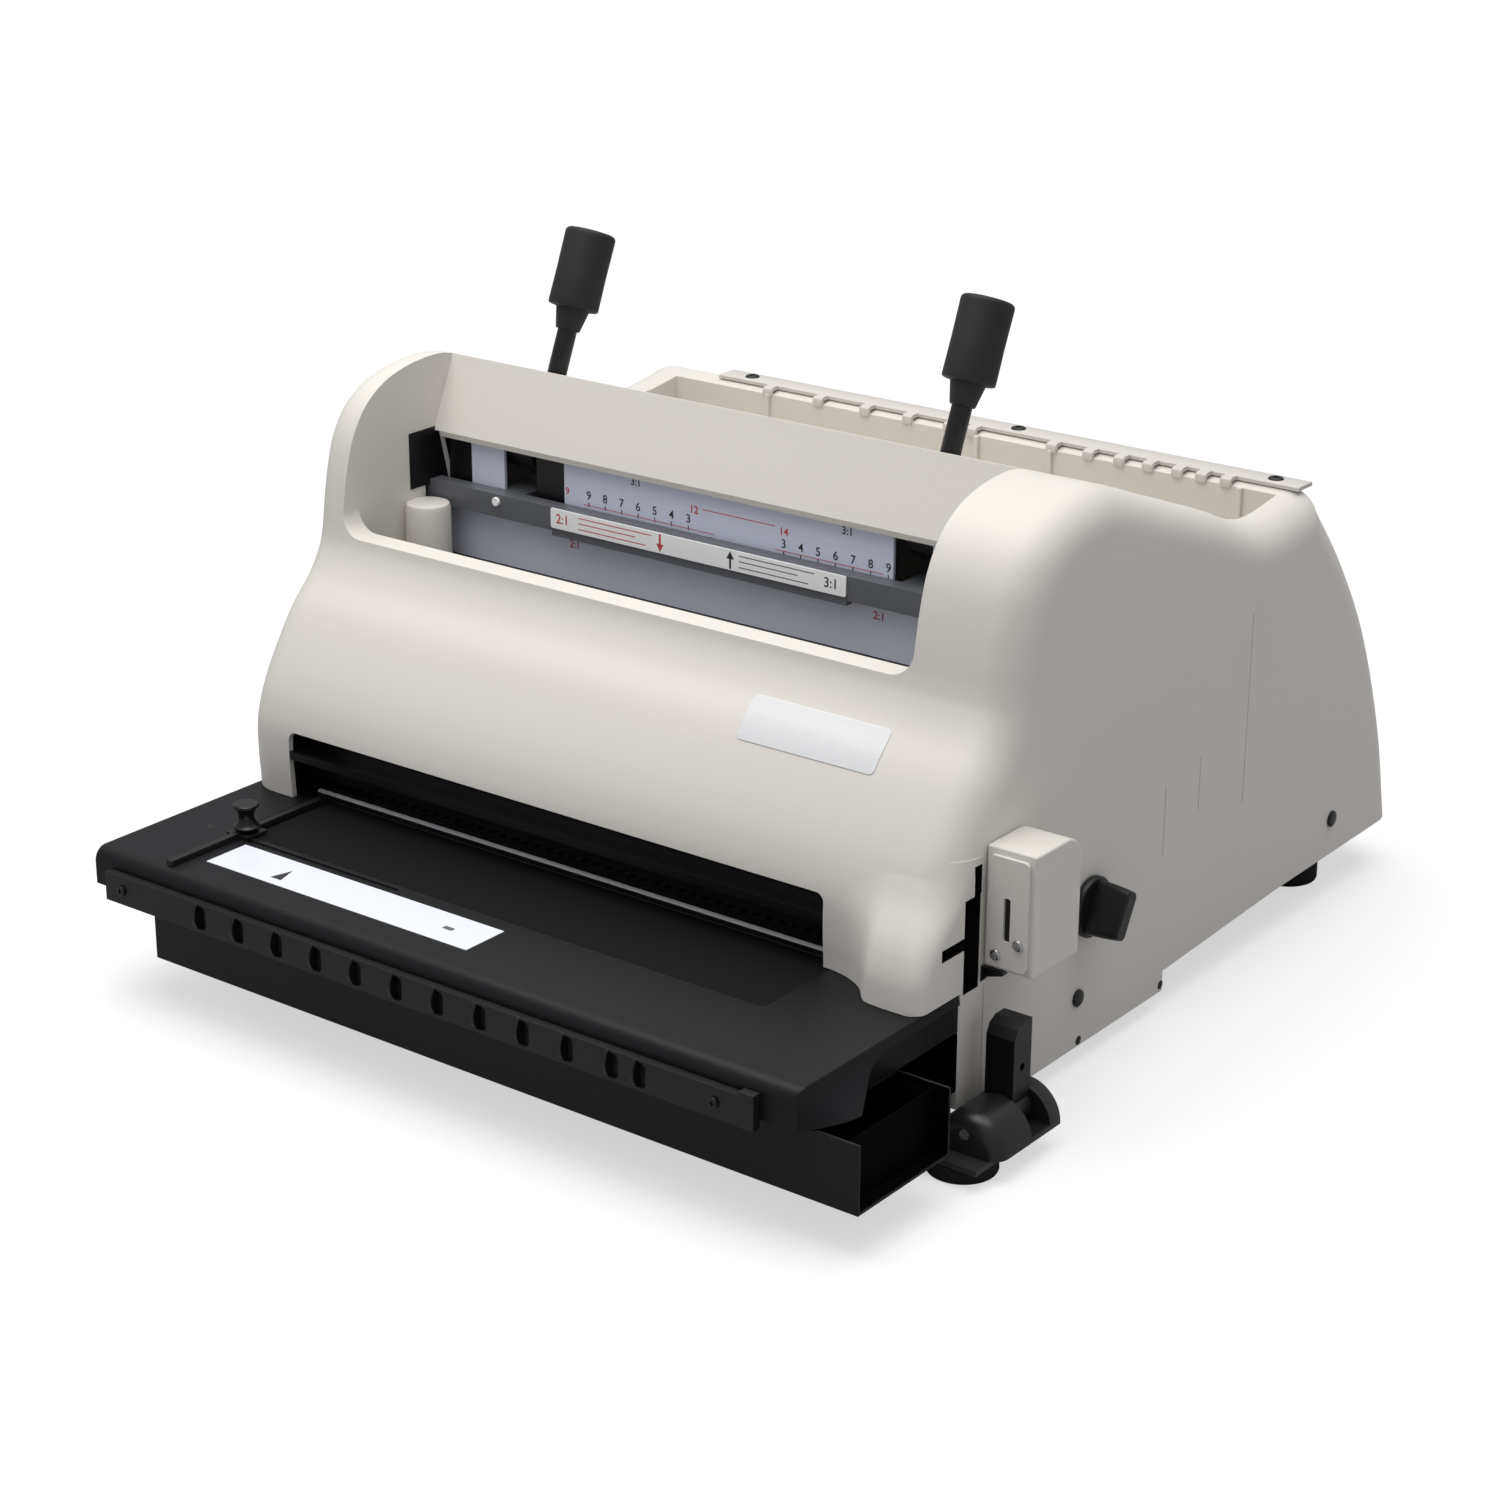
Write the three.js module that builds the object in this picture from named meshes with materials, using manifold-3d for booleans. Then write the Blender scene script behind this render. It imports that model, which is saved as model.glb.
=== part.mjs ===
import * as THREE from 'three';
import { mergeVertices } from 'three/addons/utils/BufferGeometryUtils.js';
import { ConvexGeometry } from 'three/addons/geometries/ConvexGeometry.js';
import Module from 'manifold-3d';

// A desk machine that punches sheets and closes wire bindings.
// Lengths are millimetres. X runs along the paper slot, Y to the back and Z up.
// While the pieces are drawn, X is zero at the middle of the paper slot, Y is zero at
// the front of the case and Z is zero at the table top. The finished group is then moved
// so that its origin lies at the bottom centre.

// Fits
const fitGap = 0.3;
const slideGap = 0.5;
const cutOverrun = 6;

// Paper slot, which sets the width of everything else
const throatHalf = 190;
const throatHeight = 41;
const throatCorner = 5;
const throatReach = 40;

// Margins from the slot out to the bay, the case and the side frames
const bayMargin = 10;
const caseLeftMargin = 28;
const caseRightMargin = 63.6;
const coreMargin = 6;
const bayHalf = throatHalf + bayMargin;
const caseLeft = bayHalf + caseLeftMargin;
const caseRight = bayHalf + caseRightMargin;
const coreWidth = bayHalf + coreMargin;

// Case
const caseNose = 22;
const caseDepth = 526;
const caseTop = 233;
const caseDrop = 74;
const caseWall = 3.5;
const caseEndRoundShare = 0.0418;
const caseEndRound = caseEndRoundShare * caseDepth;
const caseRoundSteps = 3;
const depthAt = (share) => share * caseDepth - caseNose;
const caseOutlineShares = [
  [0.0247, -0.558], [0.0247, 0], [0.0266, 0.0858], [0.0342, 0.1931], [0.057, 0.279],
  [0.0798, 0.3648], [0.1065, 0.4506], [0.1369, 0.5236], [0.1521, 0.5794], [0.1559, 0.618],
  [0.1616, 0.6867], [0.1692, 0.7725], [0.1806, 0.8498], [0.2015, 0.9185], [0.2319, 0.9657],
  [0.27, 0.9914], [0.3175, 1], [0.3422, 0.9914], [0.6502, 0.7382], [0.7357, 0.7554],
  [0.7624, 0.7639], [0.7795, 0.721], [0.8403, 0.5665], [0.9068, 0.3476], [0.9677, 0.0343],
  [1, -0.236], [1.0384, -0.558],
];
const caseSkirtShares = [
  [0.0741, 0], [0.0741, 0.88], [0.118, 0.88], [0.137, 1], [0.464, 1], [0.464, 0.838],
  [0.707, 0.77], [1.1, 0.743],
];
const toeProfileShares = [[0.1, 0], [0.02, 0.18], [0.14, 0.56], [0.5, 1], [1, 1], [1, 0]];
const toePlanShares = [[0, 0.5], [0.3, 0.36], [0.52, 0], [0.9, 0.02], [0.98, 0.3], [1, 1], [0, 1]];
const toeWidth = 71.6;
const toeLength = 39;
const toeHeight = 45;

// Closing bay in the front of the case
const baySill = 142;
const baySillBack = 68;
const bayFloor = 112;
const bayFloorFront = 75;
const bayBack = 150;
const bayBeamBottom = 188;
const bayBeamFace = 141;
const bayBeamLean = 17;
const bayBeamRise = 40;
const bayCrestPast = 6;
const bayHatchFront = 79;
const bayHatchBack = 170;
const bayHatchDrop = 12;
const bayHatchSide = 4;
const wallNotchFront = 120;
const wallNotchStep = 12;
const wallNotchLow = 128;
const wallNotchHigh = 190;
const wallNotchMidLow = 160;
const wallNotchMidHigh = 178;
const bossRadius = 13.5;
const bossInset = 11;
const bossAcross = bayHalf - bossInset;
const bossBack = 122;
const bossTop = 150;

// Trough and ridge on the top
const troughLeftInset = 33;
const troughLeft = caseLeft - troughLeftInset;
const troughRightInset = 23.6;
const troughRight = caseRight - troughRightInset;
const troughFrontShare = 0.6122;
const troughFront = depthAt(troughFrontShare);
const troughBackShare = 0.7357;
const troughBack = depthAt(troughBackShare);
const troughFloor = 140;
const gaugeLeftInset = 63;
const gaugeLeft = caseLeft - gaugeLeftInset;
const gaugeRightInset = 12.6;
const gaugeRight = caseRight - gaugeRightInset;
const gaugeFrontShare = 0.7471;
const gaugeFront = depthAt(gaugeFrontShare);
const gaugeDepth = 16;
const gaugeThick = 2;
const gaugeLift = 5.6;
const gaugeToothWide = 4;
const gaugeToothLong = 2.4;
const gaugeToothCount = 13;
const gaugeScrewShares = [0.05, 0.534, 0.954];
const gaugeToothShares = [
  0.099, 0.193, 0.279, 0.356, 0.429, 0.469, 0.606, 0.667, 0.718, 0.765, 0.812, 0.85, 0.889,
];
const gaugeScrewRadius = 4;
const gaugeScrewHead = 1.4;
const gaugeShankRadius = 1.6;
const gaugeShankLong = 9;

// Frame and base
const plateThick = 4;
const framePlateBack = 200;
const framePlateFront = 17.5;
const basePlateTop = 50;
const basePlateThick = 3.5;
const basePlateFront = 22;
const basePlateBackShare = 0.9506;
const basePlateBack = depthAt(basePlateBackShare);
const baseHoleRadius = 11;
const baseHoleAcrossShares = [-0.5, 0, 0.5];
const baseHoleDepthShares = [0.55, 0.68];
const frameOutlineShares = [
  [0, 0], [0, 0.41], [0.178, 0.564], [0.26, 0.66], [0.3, 0.79], [0.4, 0.94], [0.6, 1],
  [0.82, 0.987], [0.92, 0.95], [1, 0.86], [1, 0],
];
const frameHeight = 266;
const standHeight = 85;
const footRadius = 19;
const footEdge = 2;
const footPost = 8;
const footLeftInset = 33;
const footRearLeft = caseLeft - footLeftInset;
const footRightInset = 35.6;
const footRearRight = caseRight - footRightInset;
const footRearShare = 0.8631;
const footRearPlace = depthAt(footRearShare);
const footFrontInset = 33;
const footFrontLeft = caseLeft - footFrontInset;
const footFrontPast = 16.4;
const footFrontRight = caseRight + footFrontPast;
const footFrontPlace = -2;
const footFrontTall = 9;
const footBracketThick = 3;
const footBracketHalf = 18;
const footBracketInset = 24;
const footBracketInner = coreWidth - footBracketInset;
const footBracketPast = 36.4;
const footBracketRight = caseRight + footBracketPast;

// Work table
const tableLeftInset = 3.6;
const tableLeft = caseLeft - tableLeftInset;
const tableRightInset = 0.9;
const tableRight = caseRight - tableRightInset;
const tableFront = 119.7;
const tableBack = 16.8;
const tableTall = 21.5;
const tableNose = 8;
const tableNoseSteps = 5;
const tableWall = 3;
const tableRibShares = [0.08, 0.29, 0.5, 0.71, 0.92];
const panelLeftInset = 10;
const panelLeft = throatHalf - panelLeftInset;
const panelRightPast = 4;
const panelRight = throatHalf + panelRightPast;
const panelFront = 55;
const panelDepth = 67;
const panelSink = 0.8;
const grooveInset = 59.4;
const grooveLeft = tableLeft - grooveInset;
const grooveLong = 115;
const grooveFront = 64.5;
const grooveWide = 3;
const grooveSink = 1.2;
const apronReach = 21;
const apronLong = 70;
const apronPeakShare = 0.4;
const apronTailShare = 0.63;
const carrierThick = 3;
const carrierBack = 60;

// Scale strip on the table
const stripInset = 63.4;
const stripLeft = tableLeft - stripInset;
const stripLong = 192;
const stripFront = 95;
const stripDepth = 30;
const stripThick = 0.8;
const stripSink = 0.8;

// Wire holder in front of the table
const holderInset = 13.4;
const holderLeft = tableLeft - holderInset;
const holderRightInset = 30.7;
const holderLong = tableRight - holderRightInset + holderLeft;
const holderThick = 5;
const holderTop = 9;
const holderTall = 17;
const holderBlockLong = 9;
const holderBlockTop = 7;
const holderBlockTall = 19;
const hookFirstInset = 84.4;
const hookFirst = tableLeft - hookFirstInset;
const hookPitch = 28.9;
const hookCount = 11;
const hookLastInset = 96.2;
const hookLast = tableRight - hookLastInset;
const hookThick = 2.5;
const hookRadius = 10;
const hookCentreDrop = 15;
const hookReach = 3;
const holderScrewRadius = 2.6;
const holderScrewThick = 1.2;
const holderScrewShares = [0.03, 0.966];

// Row of punch pins, which sets the chip slot, the chute and the drawer window
const pinPitch = 8.47;
const pinCount = 43;
const pinSide = 4;
const pinSlack = 0.35;
const pinMiddle = 27.6;
const chipSlotHalf = ((pinCount - 1) / 2) * pinPitch + pinSide / 2 + pinSlack;

// Chip sleeve and drawer
const sleeveInset = 2;
const sleeveLeft = throatHalf - sleeveInset;
const sleevePast = 29.8;
const sleeveRight = caseRight + sleevePast;
const sleeveFront = 111.6;
const sleeveBack = 34;
const sleeveTop = 22;
const sleeveBottom = 60;
const sleeveWall = 2;
const sleeveWindowLow = 50;
const windowInset = 8;
const sleeveWindowHalf = throatHalf - windowInset;
const drawerShort = 9;
const drawerWall = 1.8;
const drawerRearTall = 11;
const drawerTall = 31;
const drawerGripWide = 26;
const drawerGripTall = 14;
const chuteHalf = chipSlotHalf;
const chuteThick = 1.5;
const chuteBack = 40;
const chuteFront = 38;
const chuteFall = 20;
const chuteLip = 10;

// Edge guide on the table
const guideInset = 18.5;
const guidePlace = throatHalf - guideInset;
const guideWide = 4;
const guideTall = 3;
const guideFront = 112.7;
const guideLong = 124;
const guideFootHalf = 8;
const guideFootThick = 1.6;
const knobPlace = 53.5;
const knobStemRadius = 2.5;
const spoolFlangeRadius = 7.5;
const spoolWaistRadius = 4.5;
const spoolTall = 15;
const spoolFlangeThick = 3.2;

// Punching tool
const toolLeftPast = 13;
const toolLeft = throatHalf + toolLeftPast;
const toolRightInset = 7.6;
const toolRight = caseRight - toolRightInset;
const toolFront = 20.3;
const toolBack = 32.3;
const diePlateBottom = 0.6;
const slitBottom = 3.4;
const slitTall = 5;
const guideBlockTop = 21.5;
const guideWallWide = 2.4;
const flangeFront = 0.5;
const flangeLow = 24.2;
const flangeHigh = 29;
const spacerLong = 10;
const spacerBack = 29.4;
const pinTip = 9.2;
const combLow = 30;
const combStep = 49;
const combTop = 64.5;
const combRailFront = 28.5;
const combRailBack = 33;
const combRightPast = 15;
const combRight = throatHalf + combRightPast;
const slotMargin = 1;
const slotSideMargin = 1;
const dieBedChipWide = 9;

// Press drive
const beamThick = 12;
const beamFront = 24;
const beamBack = 72;
const beamInset = 2;
const beamHalf = coreWidth - beamInset;
const pressLift = 8;
const pressShaftShare = 0.1483;
const pressShaftBack = depthAt(pressShaftShare);
const pressShaftRadius = 7;
const pressCamStart = 10.3;
const pressCamWide = 18;
const pressCamShares = [-0.62, 0.62];
const pressCamSteps = 40;
const gearModule = 1.25;
const toothTipRise = 0.8;
const toothRootShare = 0.3;
const toothTipShare = 0.13;
const gearWide = 10;
const driveToothCount = 34;
const idlerToothCount = 48;
const pinionToothCount = 16;
const idlerAngle = -40;
const pinionAngle = -17;
const gearBore = 10;
const idlerPinRadius = 5;
const motorRadius = 42;
const motorLong = 150;
const motorCapLong = 8;
const motorCapRadius = 34;
const motorBracketWide = 60;
const motorShaftRadius = 4;
const bushThick = 3;
const bushLong = 9;

// Closing levers
const leverBack = 166;
const leverUp = 185;
const leverShaftRadius = 8;
const shaftPast = 7;
const leverShaftHalf = coreWidth + shaftPast;
const leverInset = 55;
const leverPlace = bayHalf - leverInset;
const leverBlockWide = 24;
const leverHub = 15.6;
const leverLean = 23;
const leverSwing = 42;
const camReturn = 72;
const closeStroke = 12;
const closeCamStart = 25.7;
const closeCamSteps = 14;
const rodInset = 6;
const rodOffset = leverPlace - rodInset;
const rodRadius = 5.75;
const rodLong = 84.8;
const neckStart = 67.8;
const neckRadius = 9;
const gripRadius = 15;
const gripLong = 45;
const gripRound = 9;
const leverSlotHalf = 8.5;
const leverSlotFront = 171;
const leverSlotBack = 236;

// Closing bar and bay plates
const barLeftPast = 3.6;
const barLeft = bayHalf + barLeftPast;
const barRightInset = 40;
const barRight = bayHalf - barRightInset;
const barFront = 136;
const barThick = 10;
const barLow = 145;
const barHigh = 159;
const barLipTall = 3;
const barLipDeep = 5;
const lugThick = 4;
const lugBack = 189;
const lugHalf = 11;
const bayPlateFront = 147;
const bayPlateThick = 2.2;
const bayPlateSplit = 142.5;
const bayPlateTop = 189;
const bayPlateSlotTop = 185;
const bayPlateSlotHalf = 14;
const bayPlateHalf = bayHalf - bayHatchSide - slideGap;
const labelInset = 40;
const labelHalf = leverPlace - labelInset;
const labelThick = 0.8;
const labelLow = 147;
const shelfThick = 6;
const shelfEarDeep = 12;
const shelfEarTall = 60;

// Side of the case
const slotNarrowFront = 27.5;
const slotNarrowTop = 66;
const boxReach = 29.9;
const boxRight = caseRight + boxReach;
const boxFront = 37;
const boxBack = 80;
const boxBottom = 9;
const boxHigh = 75.6;
const boxRound = 14;
const boxWall = 2.5;
const boxPlateThick = 2.2;
const boxPlateSide = 3;
const boxPlateLow = 12;
const boxPlateHigh = 72;
const boxPlateSlitWide = 3;
const boxPlateSlitTall = 29;
const boxScrewShares = [[2.4, 1.5], [7, 1.9]];
const boxScrewRadius = 3;
const boxScrewThick = 1.4;
const housingRound = 20.5;
const housingSteps = 12;
const housingPast = 21.9;
const housingMiddle = caseRight + housingPast;
const housingFront = -8;
const housingBack = 50;
const housingTop = 51;
const lockFront = 23;
const lockBack = 39;
const lockInnerPast = 12.4;
const lockInner = caseRight + lockInnerPast;
const lockOuterPast = 29.4;
const lockOuter = caseRight + lockOuterPast;
const lockTop = 12;
const lockPivotPast = 20.9;
const lockPivotAcross = caseRight + lockPivotPast;
const lockPivotDrop = 62;
const lockPinRadius = 3;
const lockHub = 7.5;
const lockHole = 2.2;
const lockRound = 8;
const knobBack = 138;
const knobUp = 7;
const knobRadius = 17;
const knobDisc = 4;
const knobReach = 24;
const knobWing = 4.5;
const spindleRadius = 4;
const spindleInset = 39.6;
const spindleInner = caseRight - spindleInset;
const marginCamStart = 10;
const marginCamRise = 3.5;
const marginCamTurn = 270;
const marginCamInset = 33.6;
const marginCamFront = caseRight - marginCamInset;
const marginCamWide = 7;
const marginCamSteps = 30;
const stopFront = 33.6;
const stopBack = 46;
const stopLow = 4;
const stopHigh = 7.8;
const stopInset = 8;
const stopHalf = throatHalf - stopInset;
const stopLinkWide = 6;
const capPlaceShares = [[0.291, -0.191], [0.833, -0.1416]];
const capRadius = 5;
const capThick = 1.2;
const capShankRadius = 2;
const capShankLong = 9;
const sideGrooveShares = [[0.3707, 0.215, 0.039], [0.4316, 0.245, 0.107], [0.511, 0.541, 0.056]];
const sideGrooveWide = 1.2;
const sideGrooveSink = 0.9;

// Mains inlet on the back
const inletAcross = 150;
const inletWide = 32;
const inletTall = 26;
const inletDeep = 24;
const inletFlange = 5;
const inletFlangeThick = 2.4;
const inletSocketDeep = 17;
const inletShell = 3;
const inletStart = 14;
const inletPinSide = 2.4;
const inletPinLong = 12;
const inletPinSpread = 7;

// Colours
const creamPaint = { color: 0xddd8cd, roughness: 0.55, metalness: 0 };
const greyPaint = { color: 0x8e9299, roughness: 0.4, metalness: 0.6 };
const blackPlastic = { color: 0x1c1c1d, roughness: 0.5, metalness: 0 };
const darkSteel = { color: 0x3b3c3e, roughness: 0.45, metalness: 0.7 };
const brightSteel = { color: 0xb9babb, roughness: 0.3, metalness: 1 };
const softRubber = { color: 0x161616, roughness: 0.85, metalness: 0 };
const whiteLabel = { color: 0xf2f2ee, roughness: 0.6, metalness: 0 };

const wasm = await Module();
wasm.setup();

// A closed three.js geometry becomes a solid that can be joined and cut.
function solid(geometry) {
  for (const name of Object.keys(geometry.attributes)) {
    if (name !== 'position') geometry.deleteAttribute(name);
  }
  const merged = mergeVertices(geometry);
  const vertProperties = new Float32Array(merged.attributes.position.array);
  const triVerts = new Uint32Array(merged.index.array);
  return new wasm.Manifold(new wasm.Mesh({ numProp: 3, vertProperties, triVerts }));
}

// A solid becomes a geometry that a mesh can show.
function geometryOf(body) {
  const { vertProperties, triVerts, numProp } = body.getMesh();
  const places = new Float32Array((vertProperties.length / numProp) * 3);
  for (let i = 0; i < places.length / 3; i += 1) {
    for (let k = 0; k < 3; k += 1) places[i * 3 + k] = vertProperties[i * numProp + k];
  }
  const geometry = new THREE.BufferGeometry();
  geometry.setAttribute('position', new THREE.BufferAttribute(places, 3));
  geometry.setIndex(Array.from(triVerts));
  geometry.computeVertexNormals();
  return geometry;
}

const outline = (points) => new THREE.Shape(points.map(([a, b]) => new THREE.Vector2(a, b)));

function turned(geometry, right, up, along) {
  const place = new THREE.Matrix4().makeBasis(
    new THREE.Vector3(...right), new THREE.Vector3(...up), new THREE.Vector3(...along));
  return geometry.applyMatrix4(place);
}

// Prisms along each axis from an outline in the other two.
function prismX(points, from, to, bevel = null) {
  const round = bevel ?? { size: 0, steps: 0 };
  const options = { depth: to - from - 2 * round.size, bevelEnabled: round.size > 0 };
  if (round.size > 0) {
    options.bevelThickness = round.size;
    options.bevelSize = round.size;
    options.bevelOffset = -round.size;
    options.bevelSegments = round.steps;
  }
  const geometry = turned(new THREE.ExtrudeGeometry(outline(points), options),
    [0, 1, 0], [0, 0, 1], [1, 0, 0]);
  return solid(geometry.translate(from + round.size, 0, 0));
}

function prismY(points, from, to) {
  const options = { depth: to - from, bevelEnabled: false };
  const geometry = turned(new THREE.ExtrudeGeometry(outline(points), options),
    [1, 0, 0], [0, 0, 1], [0, -1, 0]);
  return solid(geometry.translate(0, to, 0));
}

function prismZ(points, from, to) {
  const options = { depth: to - from, bevelEnabled: false };
  return solid(new THREE.ExtrudeGeometry(outline(points), options).translate(0, 0, from));
}

function box(x0, x1, y0, y1, z0, z1) {
  const geometry = new THREE.BoxGeometry(x1 - x0, y1 - y0, z1 - z0);
  return solid(geometry.translate((x0 + x1) / 2, (y0 + y1) / 2, (z0 + z1) / 2));
}

// Round bars along X, Y and Z.
function barX(y, z, radius, from, to, sides = 24) {
  const geometry = new THREE.CylinderGeometry(radius, radius, to - from, sides).rotateZ(-Math.PI / 2);
  return solid(geometry.translate((from + to) / 2, y, z));
}

function barY(x, z, radius, from, to, sides = 20) {
  const geometry = new THREE.CylinderGeometry(radius, radius, to - from, sides);
  return solid(geometry.translate(x, (from + to) / 2, z));
}

function barZ(x, y, radius, from, to, sides = 20) {
  const geometry = new THREE.CylinderGeometry(radius, radius, to - from, sides).rotateX(Math.PI / 2);
  return solid(geometry.translate(x, y, (from + to) / 2));
}

// A turned piece standing on Z from pairs of radius and height.
function spun(profile, sides) {
  const points = profile.map(([r, h]) => new THREE.Vector2(r, h));
  return new THREE.LatheGeometry(points, sides).rotateX(Math.PI / 2);
}

// A rectangle with rounded corners, listed as points.
function roundRect(x0, x1, y0, y1, radius, steps = 4) {
  const corners = [[x1 - radius, y0 + radius], [x1 - radius, y1 - radius],
    [x0 + radius, y1 - radius], [x0 + radius, y0 + radius]];
  return corners.flatMap(([cx, cy], turn) => Array.from({ length: steps + 1 }, (_, i) => {
    const angle = (Math.PI / 2) * (turn - 1 + i / steps);
    return [cx + radius * Math.cos(angle), cy + radius * Math.sin(angle)];
  }));
}

// An outline moved out by a distance, or in where the distance is below zero.
function grown(points, distance) {
  const area = points.reduce((sum, [a, b], i) => {
    const [c, d] = points[(i + 1) % points.length];
    return sum + a * d - c * b;
  }, 0);
  const way = Math.sign(area) * distance;
  return points.map(([a, b], i) => {
    const [pa, pb] = points[(i + points.length - 1) % points.length];
    const [na, nb] = points[(i + 1) % points.length];
    const before = new THREE.Vector2(a - pa, b - pb).normalize();
    const after = new THREE.Vector2(na - a, nb - b).normalize();
    const out = new THREE.Vector2(before.y + after.y, -before.x - after.x);
    const scale = way / (1 + before.dot(after));
    return [a + out.x * scale, b + out.y * scale];
  });
}

// A convex outline from how far it reaches at each angle.
// Each pair holds an angle in radians, counted from straight down towards plus Y, and a reach.
function reachOutline(reaches, centre) {
  const limit = 2 * Math.max(...reaches.map(([, reach]) => reach));
  let points = [[-limit, -limit], [limit, -limit], [limit, limit], [-limit, limit]];
  for (const [angle, reach] of reaches) {
    const n = [Math.sin(angle), -Math.cos(angle)];
    const depth = ([a, b]) => a * n[0] + b * n[1] - reach;
    points = points.flatMap((point, i) => {
      const next = points[(i + 1) % points.length];
      const here = depth(point);
      const there = depth(next);
      const kept = here <= 0 ? [point] : [];
      if (here * there < 0) {
        const t = here / (here - there);
        kept.push([point[0] + (next[0] - point[0]) * t, point[1] + (next[1] - point[1]) * t]);
      }
      return kept;
    });
  }
  return points.map(([a, b]) => [a + centre[0], b + centre[1]]);
}

const assembly = new THREE.Group();

function add(name, shape, look) {
  const geometry = shape instanceof THREE.BufferGeometry ? shape : geometryOf(shape);
  const mesh = new THREE.Mesh(geometry, new THREE.MeshStandardMaterial({ ...look, flatShading: true }));
  mesh.name = name;
  assembly.add(mesh);
  return mesh;
}

const joined = (list) => list.reduce((sum, next) => sum.add(next));
const cutBy = (body, list) => list.reduce((rest, next) => rest.subtract(next), body);

// Case outlines
const caseOutline = caseOutlineShares.map(([d, h]) => [depthAt(d), h * caseTop]);
const caseInner = grown(caseOutline, -caseWall);
const skirt = caseSkirtShares.map(([d, h]) => [depthAt(d), -h * caseDrop + (h === 0 ? fitGap : 0)]);
const skirtCut = [
  [-caseDepth, skirt[0][1]], ...skirt, [2 * caseDepth, skirt[skirt.length - 1][1]],
  [2 * caseDepth, -caseDepth], [-caseDepth, -caseDepth],
];

const bayPocket = [
  [-caseTop, baySill], [baySillBack, baySill], [bayFloorFront, baySill - cutOverrun],
  [bayFloorFront, bayFloor], [bayBack, bayFloor], [bayBack, (bayFloor + bayBeamBottom) / 2],
  [bayBeamFace, bayBeamBottom], [bayBeamFace + bayBeamLean, bayBeamBottom + bayBeamRise],
  [bayBeamFace + bayBeamLean + bayCrestPast, bayBeamBottom + bayBeamRise + 2 * bayCrestPast],
  [-caseTop, bayBeamBottom + 2 * bayBeamRise],
];
const bayHatch = [
  [bayHatchFront, bayFloor - bayHatchDrop], [bayHatchBack, bayFloor - bayHatchDrop],
  [bayHatchBack, bayBeamBottom - fitGap], [bayBeamFace + caseWall, bayBeamBottom - fitGap],
  [bayHatchFront, bayFloor + fitGap],
];
const troughBox = (grow) => box(-troughLeft - grow, troughRight + grow, troughFront - grow,
  troughBack + grow, troughFloor - grow, caseTop);

// Openings of the tool in the side, and of the wire bay in the left cheek
const toolHole = [
  [toolFront - slotSideMargin, -diePlateBottom - slotMargin],
  [toolBack + slotSideMargin, -diePlateBottom - slotMargin],
  [toolBack + slotSideMargin, combStep + slotMargin], [combRailBack + slotSideMargin, combStep + slotMargin],
  [combRailBack + slotSideMargin, slotNarrowTop], [slotNarrowFront, slotNarrowTop],
  [slotNarrowFront, combStep + slotMargin], [toolFront - slotSideMargin, combStep + slotMargin],
  [toolFront - slotSideMargin, flangeHigh + slotMargin], [flangeFront - slotSideMargin, flangeHigh + slotMargin],
  [flangeFront - slotSideMargin, flangeLow - slotMargin], [toolFront - slotSideMargin, flangeLow - slotMargin],
];
const cheekNotch = [
  [wallNotchFront, wallNotchMidLow], [wallNotchFront + wallNotchStep, wallNotchMidLow],
  [wallNotchFront + wallNotchStep, wallNotchLow], [bayBack, wallNotchLow], [bayBack, wallNotchHigh],
  [wallNotchFront + wallNotchStep, wallNotchHigh], [wallNotchFront + wallNotchStep, wallNotchMidHigh],
  [wallNotchFront, wallNotchMidHigh],
];

// Right toe of the case
const toeProfile = toeProfileShares.map(([a, b]) => [a * toeLength - caseNose, b * toeHeight]);
const toePlan = toePlanShares.map(([a, b]) => [caseRight - toeWidth + a * toeWidth, b * toeLength - caseNose]);
const toe = prismX(toeProfile, caseRight - toeWidth, caseRight).intersect(
  prismZ(toePlan, fitGap, toeHeight));

// Back wall of the case as a plane that carries the inlet
const backTop = caseOutline[caseOutline.length - 3];
const backLow = caseOutline[caseOutline.length - 2];
const backDown = new THREE.Vector2(backLow[0] - backTop[0], backLow[1] - backTop[1]).normalize();
const backPlace = (across, down) => new THREE.Matrix4().makeBasis(
  new THREE.Vector3(-1, 0, 0), new THREE.Vector3(0, -backDown.x, -backDown.y),
  new THREE.Vector3(0, -backDown.y, backDown.x))
  .setPosition(across, backTop[0] + backDown.x * down, backTop[1] + backDown.y * down);
const onBack = (geometry, across, down) => solid(geometry.applyMatrix4(backPlace(across, down)));
const block = (w, h, z0, z1) => new THREE.BoxGeometry(w, h, z1 - z0).translate(0, 0, (z0 + z1) / 2);
const inletDown = inletStart + inletTall / 2;

const capSpots = capPlaceShares.map(([d, h]) => [depthAt(d), h * caseTop]);
const caseOuterSolid = prismX(caseOutline, -caseLeft, caseRight,
  { size: caseEndRound, steps: caseRoundSteps });
const cavity = cutBy(prismX(caseInner, -caseLeft + caseWall, caseRight - caseWall,
  { size: caseEndRound - caseWall, steps: caseRoundSteps }), [
  prismX(grown(bayPocket, caseWall), -bayHalf - caseWall, bayHalf + caseWall), troughBox(caseWall),
]);
const grooveCuts = sideGrooveShares.map(([d, high, low]) => box(caseRight - sideGrooveSink,
  caseRight + cutOverrun, depthAt(d), depthAt(d) + sideGrooveWide, low * caseTop, high * caseTop));
const leverSlots = [-rodOffset, rodOffset].map((x) => box(x - leverSlotHalf, x + leverSlotHalf,
  leverSlotFront, leverSlotBack, leverUp + leverHub, caseTop + cutOverrun));
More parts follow.
